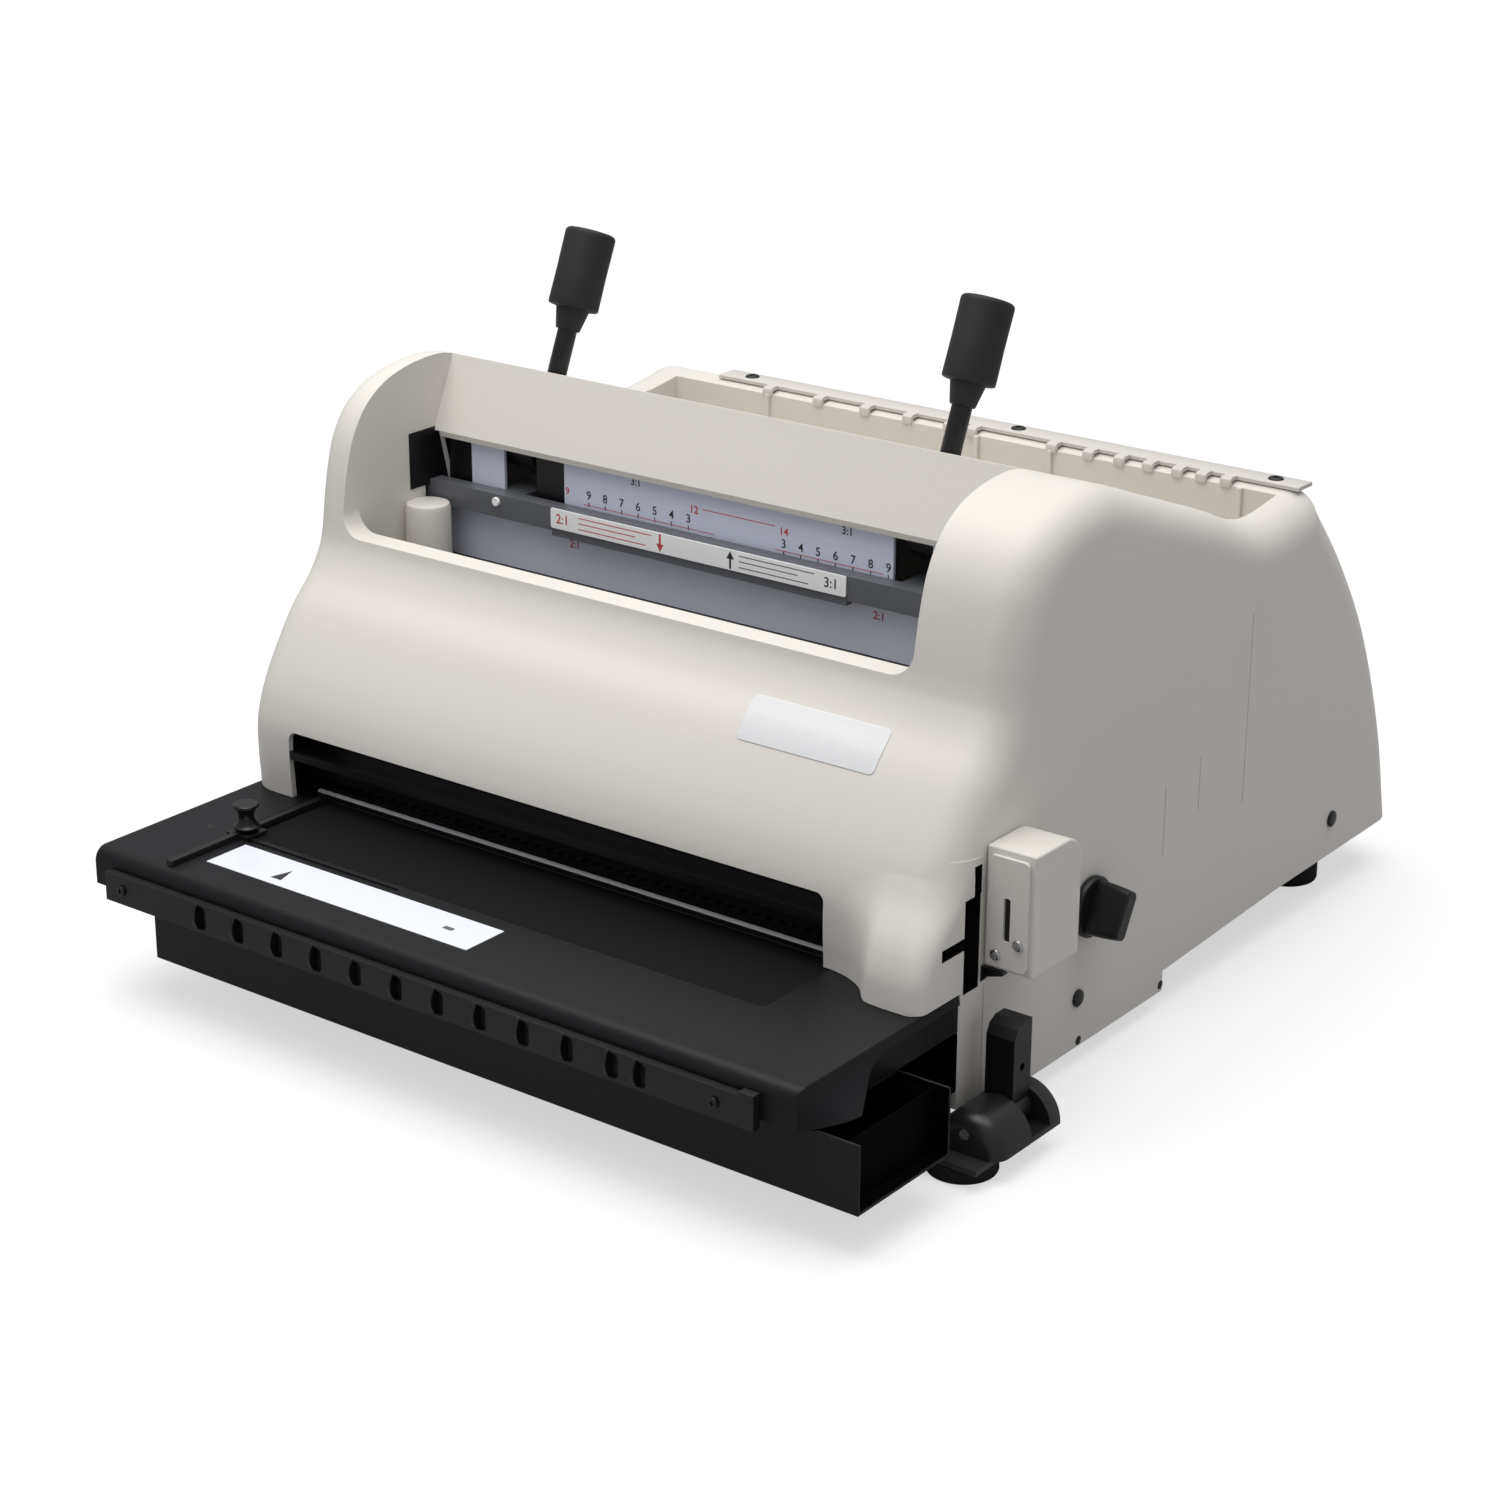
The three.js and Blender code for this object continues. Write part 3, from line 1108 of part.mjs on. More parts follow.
// Lock housing and lock lever
const housingLow = bracketTop + fitGap;
const housingArc = Array.from({ length: housingSteps + 1 }, (_, i) => {
  const angle = Math.PI * (i / housingSteps);
  return [housingMiddle + housingRound * Math.cos(angle),
    housingLow + (-housingTop - housingLow) * Math.sin(angle)];
});
const lockPivotUp = -lockPivotDrop;
const housingBody = cutBy(prismY(housingArc, housingFront, housingBack), [
  box(housingMiddle - 2 * housingRound, housingMiddle + 2 * housingRound, lockFront - slideGap,
    lockBack + slideGap, lockPivotUp - lockHub - slideGap, 0),
  barY(lockPivotAcross, lockPivotUp, lockPinRadius + fitGap, housingFront - cutOverrun, housingBack + cutOverrun),
]);
add('lock_housing', housingBody, blackPlastic);
add('lock_pin', barY(lockPivotAcross, lockPivotUp, lockPinRadius, housingFront + fitGap, housingBack - fitGap, 16),
  brightSteel);
const lockOutline = [
  [lockInner, lockPivotUp + lockHub], [lockPivotAcross - lockHub, lockPivotUp],
  [lockPivotAcross - lockHub / 2, lockPivotUp - lockHub * 0.87],
  [lockPivotAcross + lockHub / 2, lockPivotUp - lockHub * 0.87],
  [lockPivotAcross + lockHub, lockPivotUp], [lockOuter, lockPivotUp + lockHub], [lockOuter, -lockTop],
  [lockInner, -lockTop],
];
const lockSide = [
  [lockFront, -caseDrop], [lockBack, -caseDrop], [lockBack, -lockTop], [lockFront + lockRound, -lockTop],
  [lockFront + lockRound / 3, -lockTop - lockRound / 3], [lockFront, -lockTop - lockRound],
];
const lockBody = prismY(lockOutline, lockFront, lockBack).intersect(prismX(lockSide, lockInner, lockOuter));
add('tool_lock_lever', cutBy(lockBody, [
  barY(lockPivotAcross, lockPivotUp, lockPinRadius + fitGap, lockFront - cutOverrun, lockBack + cutOverrun, 16),
  barX((lockFront + lockBack) / 2, (lockPivotUp - lockTop) / 2, lockHole, lockOuter - cutOverrun,
    lockOuter + cutOverrun, 12),
]), blackPlastic);

// Margin knob, its cam and the depth stop
const knobFace = caseRight + fitGap;
add('margin_knob', joined([barX(knobBack, knobUp, knobRadius, knobFace, knobFace + knobDisc, 32),
  box(knobFace + knobDisc - fitGap, knobFace + knobReach, knobBack - knobWing, knobBack + knobWing,
    knobUp - knobRadius + knobDisc, knobUp + knobRadius - knobDisc),
  barX(knobBack, knobUp, spindleRadius, spindleInner, knobFace + fitGap)]), blackPlastic);
const marginTurn = radians(marginCamTurn);
const marginCam = reachOutline(Array.from({ length: marginCamSteps + 1 }, (_, i) => {
  const turn = (marginTurn * i) / marginCamSteps;
  return [-Math.PI / 2 + turn, marginCamStart + (marginCamRise * turn) / marginTurn];
}), [knobBack, knobUp]);
add('margin_cam', prismX(marginCam, marginCamFront, marginCamFront + marginCamWide).subtract(
  barX(knobBack, knobUp, spindleRadius + fitGap, marginCamFront - cutOverrun,
    marginCamFront + marginCamWide + cutOverrun)), brightSteel);
const stopArmBack = knobBack - marginCamStart - fitGap;
add('depth_stop', joined([box(-stopHalf, stopHalf, stopFront, stopBack, stopLow, stopHigh),
  box(stopHalf - fitGap, marginCamFront + marginCamWide, stopBack - stopLinkWide, stopBack, stopLow, stopHigh),
  box(marginCamFront, marginCamFront + marginCamWide, stopBack - fitGap, stopArmBack, stopLow, stopHigh)]),
brightSteel);

// Screws in the side of the case
capSpots.forEach(([y, z], i) => add(`case_screw_${i + 1}`, barX(y, z, capRadius, caseRight + fitGap,
  caseRight + fitGap + capThick, 18).add(barX(y, z, capShankRadius, caseRight + fitGap - capShankLong,
  caseRight + 2 * fitGap, 10)), blackPlastic));

// Mains inlet
const inletBody = cutBy(joined([
  onBack(block(inletWide + 2 * inletFlange, inletTall + 2 * inletFlange, fitGap, fitGap + inletFlangeThick),
    inletAcross, inletDown),
  onBack(block(inletWide - 2 * fitGap, inletTall - 2 * fitGap, -inletDeep, fitGap + inletFlangeThick / 2),
    inletAcross, inletDown),
]), [onBack(block(inletWide - 2 * inletShell, inletTall - 2 * inletShell, -inletSocketDeep, cutOverrun),
  inletAcross, inletDown)]);
const inletPins = [-1, 0, 1].map((k) => onBack(block(inletPinSide, 2 * inletPinSide, -inletSocketDeep - fitGap,
  -inletSocketDeep + inletPinLong).translate(k * inletPinSpread, (k === 0 ? 1 : -1) * inletPinSide, 0),
inletAcross, inletDown));
add('power_inlet', joined([inletBody, ...inletPins]), blackPlastic);

// The whole machine is moved so that the origin lies at its bottom centre.
const bounds = new THREE.Box3().setFromObject(assembly);
const centre = bounds.getCenter(new THREE.Vector3());
assembly.position.set(-centre.x, -centre.y, -bounds.min.z);
assembly.updateMatrixWorld(true);

export default assembly;
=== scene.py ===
"""Looks of a desk machine that punches sheets and closes wire bindings.

Lengths are millimetres in the drawing frame of the part: X runs along the paper slot with
zero at its middle, Y runs to the back with zero at the front of the case, and Z is zero at
the table top.  `Datum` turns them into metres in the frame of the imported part.
"""
import logging
import math
from dataclasses import dataclass, field
from enum import Enum

import bmesh
import bpy
import numpy as np
from mathutils import Matrix, Vector


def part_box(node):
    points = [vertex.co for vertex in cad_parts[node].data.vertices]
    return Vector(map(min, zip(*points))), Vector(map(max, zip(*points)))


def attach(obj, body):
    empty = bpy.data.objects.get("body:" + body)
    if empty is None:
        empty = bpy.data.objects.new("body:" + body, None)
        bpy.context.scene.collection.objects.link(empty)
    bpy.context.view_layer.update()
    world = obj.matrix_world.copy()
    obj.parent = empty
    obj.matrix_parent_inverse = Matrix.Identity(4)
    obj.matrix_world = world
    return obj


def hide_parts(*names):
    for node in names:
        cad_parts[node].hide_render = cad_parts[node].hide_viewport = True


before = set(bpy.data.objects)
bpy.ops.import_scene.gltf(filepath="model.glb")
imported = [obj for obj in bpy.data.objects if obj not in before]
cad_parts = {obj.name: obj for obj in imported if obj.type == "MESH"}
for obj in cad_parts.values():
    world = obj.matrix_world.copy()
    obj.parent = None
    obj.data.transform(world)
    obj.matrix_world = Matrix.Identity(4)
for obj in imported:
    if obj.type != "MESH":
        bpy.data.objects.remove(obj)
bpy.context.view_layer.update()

Obj, Tree, Socket = bpy.types.Object, bpy.types.NodeTree, bpy.types.NodeSocket
LOG = logging.getLogger("binding_machine")
MM = 1000.0  # millimetres in a metre
UPRIGHT = Matrix.Rotation(math.pi / 2, 4, "X")  # stands a print up, to be read from the front
PRINT = (-0.03, 0.1)  # front and back of a print, from the face it lies on
WARM_WHITE = (1.0, 0.985, 0.955)
IMAGE_PX, SENSOR_MM = 1500, 36.0


class Axis(Enum):
    """Axis along which a section is drawn out."""

    X = 0
    Y = 1
    Z = 2


X, Y, Z = Axis


class Cut(Enum):
    """What a boolean does with its second solid."""

    REMOVE = "DIFFERENCE"
    JOIN = "UNION"
    KEEP = "INTERSECT"


@dataclass(frozen=True)
class Datum:
    """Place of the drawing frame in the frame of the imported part.

    Attributes:
        shift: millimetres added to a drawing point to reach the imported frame.
    """

    shift: np.ndarray

    @classmethod
    def from_cad(cls) -> "Datum":
        """Read the shift from three CAD nodes whose lowest x, y and z in the drawing are known.

        Returns:
            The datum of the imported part.
        """
        known = (("size_gauge", -165.0), ("work_table", -119.7), ("foot_rear_right", -85.0))
        return cls(np.array([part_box(node)[0][i] * MM - low for i, (node, low) in enumerate(known)]))

    def metres(self, points: np.ndarray) -> np.ndarray:
        """Turn drawing points, or one point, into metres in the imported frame."""
        return (np.asarray(points, dtype=float) + self.shift) / MM


@dataclass
class Shape:
    """Mesh data in drawing millimetres.

    Attributes:
        verts: array of shape (n, 3).
        faces: lists of vertex numbers, counter-clockwise from outside.
    """

    verts: np.ndarray
    faces: list

    def flipped(self) -> "Shape":
        """Return the shape with every face turned round."""
        return Shape(self.verts, [face[::-1] for face in self.faces])

    def leaned(self, degrees: float, pivot: tuple) -> "Shape":
        """Return the shape turned about an axis along X, its top going to the back.

        Args:
            degrees: angle of the turn.
            pivot: (y, z) of the axis.

        Returns:
            The turned shape.
        """
        a = math.radians(degrees)
        y, z = self.verts[:, 1] - pivot[0], self.verts[:, 2] - pivot[1]
        turned = np.stack([self.verts[:, 0], pivot[0] + y * math.cos(a) + z * math.sin(a),
                           pivot[1] - y * math.sin(a) + z * math.cos(a)], axis=1)
        return Shape(turned, self.faces)

    @staticmethod
    def joined(shapes: list) -> "Shape":
        """Put several shapes into one list of points and faces.

        Args:
            shapes: the shapes.

        Returns:
            One shape with all of them, nothing merged.
        """
        verts, faces, base = [], [], 0
        for shape in shapes:
            verts.append(shape.verts)
            faces += [[base + i for i in face] for face in shape.faces]
            base += len(shape.verts)
        return Shape(np.concatenate(verts), faces)


def skin(rows: list) -> Shape:
    """Skin closed rows of points that lie one behind the other, and fill both ends.

    Args:
        rows: arrays of shape (n, 3), all of one n.

    Returns:
        The skinned shape.
    """
    stack = np.stack(rows)
    index = np.arange(stack.shape[0] * stack.shape[1]).reshape(stack.shape[:2])
    right = np.roll(index, -1, axis=1)
    quads = np.stack([index[:-1], right[:-1], right[1:], index[1:]], axis=-1).reshape(-1, 4)
    return Shape(stack.reshape(-1, 3), quads.tolist() + [index[0][::-1].tolist(), index[-1].tolist()])


def prism(section: list, axis: Axis, low: float, high: float) -> Shape:
    """Draw a flat section out along an axis.

    Args:
        section: corner pairs in the other two axes, in X, Y, Z order.
        axis: axis of the draw.
        low: start along the axis.
        high: end along the axis.

    Returns:
        The prism, its faces outward.
    """
    flat = np.asarray(section, dtype=float)
    nxt = np.roll(flat, -1, axis=0)
    area = np.sum(flat[:, 0] * nxt[:, 1] - nxt[:, 0] * flat[:, 1])
    if (area < 0) != (axis is Y):
        flat = flat[::-1]
    return skin([np.insert(flat, axis.value, place, axis=1) for place in (low, high)])


def box(x0: float, x1: float, y0: float, y1: float, z0: float, z1: float) -> Shape:
    """Draw a block between two corners."""
    return prism([(x0, y0), (x1, y0), (x1, y1), (x0, y1)], Z, z0, z1)


def spun(profile: list, axis: Axis, centre: tuple, sides: int = 48) -> Shape:
    """Turn a profile about an axis: ring i is (r cos t, r sin t) at height h.

    Args:
        profile: pairs of radius and height, from low to high.
        axis: axis of the turn.
        centre: the two other coordinates of the axis, in X, Y, Z order.
        sides: number of steps round.

    Returns:
        The turned shape with filled ends.
    """
    angle = np.linspace(0, 2 * math.pi, sides, endpoint=False)
    if axis is Y:
        angle = angle[::-1]
    ring = np.stack([np.cos(angle), np.sin(angle)], axis=1)
    return skin([np.insert(ring * r + np.asarray(centre), axis.value, h, axis=1) for r, h in profile])


def round_rect(x0: float, x1: float, y0: float, y1: float, radius: float, steps: int = 8) -> list:
    """List the points of a rectangle with rounded corners.

    Args:
        x0, x1, y0, y1: its sides.
        radius: radius of the corners; a corner's points are its centre + radius (cos t, sin t).
        steps: pieces round a corner.

    Returns:
        Pairs of coordinates, counter-clockwise.
    """
    points = []
    for cx, cy, start in ((x1 - radius, y0 + radius, -90), (x1 - radius, y1 - radius, 0),
                          (x0 + radius, y1 - radius, 90), (x0 + radius, y0 + radius, 180)):
        turn = np.radians(start + np.linspace(0, 90, steps + 1))
        points += list(zip(cx + radius * np.cos(turn), cy + radius * np.sin(turn)))
    return points


def quarter(steps: int) -> np.ndarray:
    """List the angles of a quarter turn, in radians."""
    return np.radians(np.linspace(0, 90, steps))


def grown(points: np.ndarray, distance: float) -> np.ndarray:
    """Move each edge of a closed outline out by a distance.

    A corner moves by d (n1 + n2) / (1 + n1 . n2), where n1 and n2 are the normals of
    its two edges.

    Args:
        points: array of shape (n, 2).
        distance: how far the edges move, inwards where negative.

    Returns:
        The outline with mitred corners.
    """
    points = np.asarray(points, dtype=float)
    nxt = np.roll(points, -1, axis=0)
    area = np.sum(points[:, 0] * nxt[:, 1] - nxt[:, 0] * points[:, 1])
    after = nxt - points
    after /= np.linalg.norm(after, axis=1, keepdims=True)
    before = np.roll(after, 1, axis=0)
    out = np.stack([before[:, 1] + after[:, 1], -before[:, 0] - after[:, 0]], axis=1)
    scale = np.sign(area) * distance / (1 + np.sum(before * after, axis=1))
    return points + out * scale[:, None]


def smoothed(points: np.ndarray, steps: int, sharp: tuple = ()) -> np.ndarray:
    """Run a centripetal Catmull-Rom curve through closed points.

    Args:
        points: array of shape (n, 2).
        steps: pieces between two points.
        sharp: numbers of points where the curve keeps its corner, and whose
            neighbouring pieces stay straight.

    Returns:
        The denser closed outline.
    """
    n = len(points)
    out = []
    for i in range(n):
        p0, p1, p2, p3 = (points[(i + k) % n] for k in (-1, 0, 1, 2))
        if i in sharp:
            p0 = p1 - (p2 - p1)
        if (i + 1) % n in sharp:
            p3 = p2 + (p2 - p1)
        if i in sharp and (i + 1) % n in sharp:
            out.append(p1[None])
            continue
        k = [0.0]
        for a, b in ((p0, p1), (p1, p2), (p2, p3)):
            k.append(k[-1] + np.linalg.norm(b - a) ** 0.5)
        t = np.linspace(k[1], k[2], steps, endpoint=False)[:, None]
        a1 = ((k[1] - t) * p0 + (t - k[0]) * p1) / (k[1] - k[0])
        a2 = ((k[2] - t) * p1 + (t - k[1]) * p2) / (k[2] - k[1])
        a3 = ((k[3] - t) * p2 + (t - k[2]) * p3) / (k[3] - k[2])
        b1 = ((k[2] - t) * a1 + (t - k[0]) * a2) / (k[2] - k[0])
        b2 = ((k[3] - t) * a2 + (t - k[1]) * a3) / (k[3] - k[1])
        out.append(((k[2] - t) * b1 + (t - k[1]) * b2) / (k[2] - k[1]))
    return np.concatenate(out)


def placed(name: str, data: bpy.types.ID) -> Obj:
    """Make an object of some data and link it to the scene.

    Args:
        name: its name.
        data: its mesh, curve, camera or light.

    Returns:
        The object.
    """
    obj = bpy.data.objects.new(name, data)
    bpy.context.scene.collection.objects.link(obj)
    return obj


def baked(obj: Obj) -> bpy.types.Mesh:
    """Return the mesh of an object as its modifiers leave it."""
    depsgraph = bpy.context.evaluated_depsgraph_get()
    return bpy.data.meshes.new_from_object(obj.evaluated_get(depsgraph))


def wire(tree: Tree, node: bpy.types.Node, inputs: dict) -> None:
    """Set inputs of a node to values, or join them to outputs of other nodes.

    Args:
        tree: tree that holds the node.
        node: the node.
        inputs: a value or an output for each name or number of an input.
    """
    for key, value in inputs.items():
        if isinstance(value, Socket):
            tree.links.new(value, node.inputs[key])
        else:
            node.inputs[key].default_value = value


def add(tree: Tree, kind: str, inputs: dict, **settings) -> bpy.types.bpy_prop_collection:
    """Add a shader node to a tree.

    Args:
        tree: tree to add it to.
        kind: type of the node, without ShaderNode in front.
        inputs: its inputs, as for `wire`.
        settings: its other settings.

    Returns:
        The outputs of the node.
    """
    node = tree.nodes.new(f"ShaderNode{kind}")
    for key, value in settings.items():
        setattr(node, key, value)
    wire(tree, node, inputs)
    return node.outputs


def mixed(tree: Tree, share: Socket, first: tuple, second: tuple) -> Socket:
    """Mix two colours by a share and return the output that carries the mix."""
    return add(tree, "Mix", {0: share, 6: first, 7: second}, data_type="RGBA")[2]


@dataclass(frozen=True)
class Finish:
    """One surface finish.

    Attributes:
        name: material name.
        colour: linear base colour.
        roughness: middle roughness.
        metallic: share of metal.
        coat: clear coat weight.
        grain: size of the surface grain in metres.
        relief: height of the grain in metres.
        spread: how far the colour wanders, as a share.
        brushed: whether the grain is drawn out along X.
        specular: level of the plain reflection, 0.5 for common plastic.
        slot: name of a material slot; not used.
    """

    name: str
    colour: tuple
    roughness: float
    metallic: float = 0.0
    coat: float = 0.0
    grain: float = 0.0012
    relief: float = 0.00002
    spread: float = 0.04
    brushed: bool = False
    specular: float = 0.5
    slot: str = "black_plastic"


@dataclass
class Paints:
    """Makes one material per finish, on a shared group of grain, stain and dust nodes."""

    made: dict = field(default_factory=dict)
    rough_span: float = 0.07
    dust_share: float = 0.5

    def __post_init__(self) -> None:
        """Build the shared node group, whose outputs are Grain, Patch and Speck masks."""
        tree = self.group = bpy.data.node_groups.new("surface_masks", "ShaderNodeTree")
        for name, way, kind in (("Vector", "INPUT", "Vector"), ("Grain Scale", "INPUT", "Float"),
                                ("Grain", "OUTPUT", "Float"), ("Patch", "OUTPUT", "Float"),
                                ("Speck", "OUTPUT", "Float")):
            tree.interface.new_socket(name, in_out=way, socket_type=f"NodeSocket{kind}")
        entry = tree.nodes.new("NodeGroupInput").outputs
        place = entry["Vector"]
        grain = add(tree, "TexNoise", {"Vector": place, "Scale": entry["Grain Scale"], "Detail": 4.0,
                                       "Roughness": 0.6})
        patch = add(tree, "TexNoise", {"Vector": place, "Scale": 9.0, "Detail": 6.0})
        cells = add(tree, "TexVoronoi", {"Vector": place, "Scale": 420.0})
        speck = add(tree, "MapRange", {"Value": cells["Distance"], "From Min": 0.05, "From Max": 0.22,
                                       "To Min": 1.0, "To Max": 0.0})
        wire(tree, tree.nodes.new("NodeGroupOutput"),
             {"Grain": grain["Fac"], "Patch": patch["Fac"], "Speck": speck["Result"]})

    def get(self, finish: Finish) -> bpy.types.Material:
        """Return the material of a finish, making it the first time.

        Args:
            finish: the finish to look up.

        Returns:
            The Blender material.
        """
        if finish.name in self.made:
            return self.made[finish.name]
        material = self.made[finish.name] = bpy.data.materials.new(finish.name)
        material.use_nodes = True
        tree = material.node_tree
        place = add(tree, "TexCoord", {})["Object"]
        drawn = (0.04, 1.0, 1.0) if finish.brushed else (1.0, 1.0, 1.0)
        place = add(tree, "Mapping", {"Vector": place, "Scale": drawn})["Vector"]
        masks = add(tree, "Group", {"Vector": place, "Grain Scale": 1.0 / finish.grain}, node_tree=self.group)
        low = [max(c * (1 - finish.spread), 0.0) for c in finish.colour]
        high = [min(c * (1 + finish.spread), 1.0) for c in finish.colour]
        dusty = [c * 1.2 + 0.0008 for c in finish.colour]
        tint = mixed(tree, masks["Patch"], (*low, 1), (*high, 1))
        weight = add(tree, "Math", {0: masks["Speck"], 1: self.dust_share}, operation="MULTIPLY")[0]
        rough = add(tree, "MapRange", {"Value": masks["Grain"],
                                       "To Min": max(finish.roughness - self.rough_span, 0.05),
                                       "To Max": min(finish.roughness + self.rough_span, 1.0)})
        bump = add(tree, "Bump", {"Height": masks["Grain"], "Strength": 0.5, "Distance": finish.relief})
        wire(tree, tree.nodes["Principled BSDF"], {
            "Base Color": mixed(tree, weight, tint, (*dusty, 1)), "Roughness": rough["Result"],
            "Normal": bump["Normal"], "Metallic": finish.metallic, "Coat Weight": finish.coat,
            "Specular IOR Level": finish.specular})
        return material


CREAM = Finish("cream_moulding", (0.69, 0.662, 0.613), 0.5, grain=0.0009, relief=0.00006, spread=0.012,
               specular=0.35, slot="casing")
BLACK = Finish("black_moulding", (0.009, 0.009, 0.010), 0.45, grain=0.0011, relief=0.00009, spread=0.25,
               specular=0.35)
SATIN_BLACK = Finish("satin_black", (0.006, 0.006, 0.007), 0.32, grain=0.0016, relief=0.00003, spread=0.3,
                     specular=0.4)
GRIP_RUBBER = Finish("grip_rubber", (0.016, 0.016, 0.0165), 0.62, grain=0.0007, relief=0.00012, spread=0.3,
                     specular=0.35)
FOOT_RUBBER = Finish("foot_rubber", (0.009, 0.009, 0.009), 0.75, relief=0.00012, specular=0.3,
                     slot="rubber_feet")
DARK_METAL = Finish("dark_metal", (0.05, 0.052, 0.056), 0.35, metallic=0.5, slot="dark_metal")
TOOL_BLACK = Finish("tool_black", (0.006, 0.006, 0.007), 0.4, metallic=0.2, grain=0.0008, spread=0.3,
                    brushed=True, specular=0.25, slot="dark_metal")
PLATE = Finish("sheet_steel", (0.66, 0.70, 0.82), 0.42, metallic=0.05, grain=0.0008, relief=0.00001,
               spread=0.05, brushed=True, slot="panels")
# A paler copy of the plate's steel: painted light for the lower plate, which lies in shade under the bar.
PLATE_PAINTED_LIGHT = Finish("sheet_steel_painted_light", (0.80, 0.83, 0.96), 0.42, metallic=0.05, grain=0.0008, relief=0.00001,
                   brushed=True, slot="panels")
STEEL = Finish("ground_steel", (0.55, 0.55, 0.56), 0.28, metallic=1.0, grain=0.0006, relief=0.00001,
               brushed=True, slot="steel")
BAR_GREY = Finish("bar_grey", (0.12, 0.128, 0.142), 0.4, metallic=0.1, slot="dark_metal")
LABEL = Finish("label_white", (0.96, 0.97, 0.97), 0.45, grain=0.002, relief=0.000004, spread=0.02,
               slot="label_white")
STRIP = Finish("strip_white", (0.74, 0.77, 0.84), 0.35, coat=0.2, grain=0.002, relief=0.000004, spread=0.02,
               slot="label_white")
INK = Finish("ink_black", (0.02, 0.02, 0.022), 0.5, relief=0.000002, slot="label_white")
RED_INK = Finish("ink_red", (0.55, 0.06, 0.07), 0.5, relief=0.000002, slot="label_white")
CREAM_BARE = Finish("bare_badge", (0.70, 0.705, 0.72), 0.3, coat=0.2, grain=0.002, relief=0.000004,
                    spread=0.01, slot="casing")
TABLE = Finish("table_moulding", (0.0065, 0.0065, 0.0082), 0.46, grain=0.0009, relief=0.00008, spread=0.2,
               specular=0.22)
VELVET = Finish("panel_film", (0.0028, 0.0028, 0.003), 0.8, grain=0.0006, relief=0.00004, spread=0.3,
                specular=0.16)
HOLDER = Finish("holder_moulding", (0.009, 0.009, 0.0105), 0.42, grain=0.001, relief=0.00006, spread=0.2,
                specular=0.35)
TRAY = Finish("tray_sheet", (0.007, 0.007, 0.0084), 0.45, grain=0.0015, relief=0.00004, spread=0.25,
              specular=0.25)
# Near black with almost no reflection: the drawer's own black pushed darker as painted shade, and the colour
# of the black sheets of painted shade under the table.
DRAWER_AND_SHADE_BLACK = Finish("drawer_black_and_painted_shade", (0.0008, 0.0008, 0.0009), 0.6, grain=0.0013, relief=0.00006,
                    spread=0.25, specular=0.03)
# Near white: a painted highlight, so the steel lip reads as a bright line in the shaded slot.
LIP_HIGHLIGHT = Finish("steel_lip_painted_highlight", (0.93, 0.93, 0.94), 0.3, metallic=0.1, grain=0.0006, relief=0.00001,
              brushed=True, spread=0.03, slot="steel")
HOUSING = Finish("lock_moulding", (0.011, 0.0108, 0.0118), 0.36, relief=0.00005, spread=0.2, specular=0.45)
RAIL = Finish("rail_sheet", (0.60, 0.57, 0.535), 0.45, grain=0.0009, relief=0.00001, slot="steel")


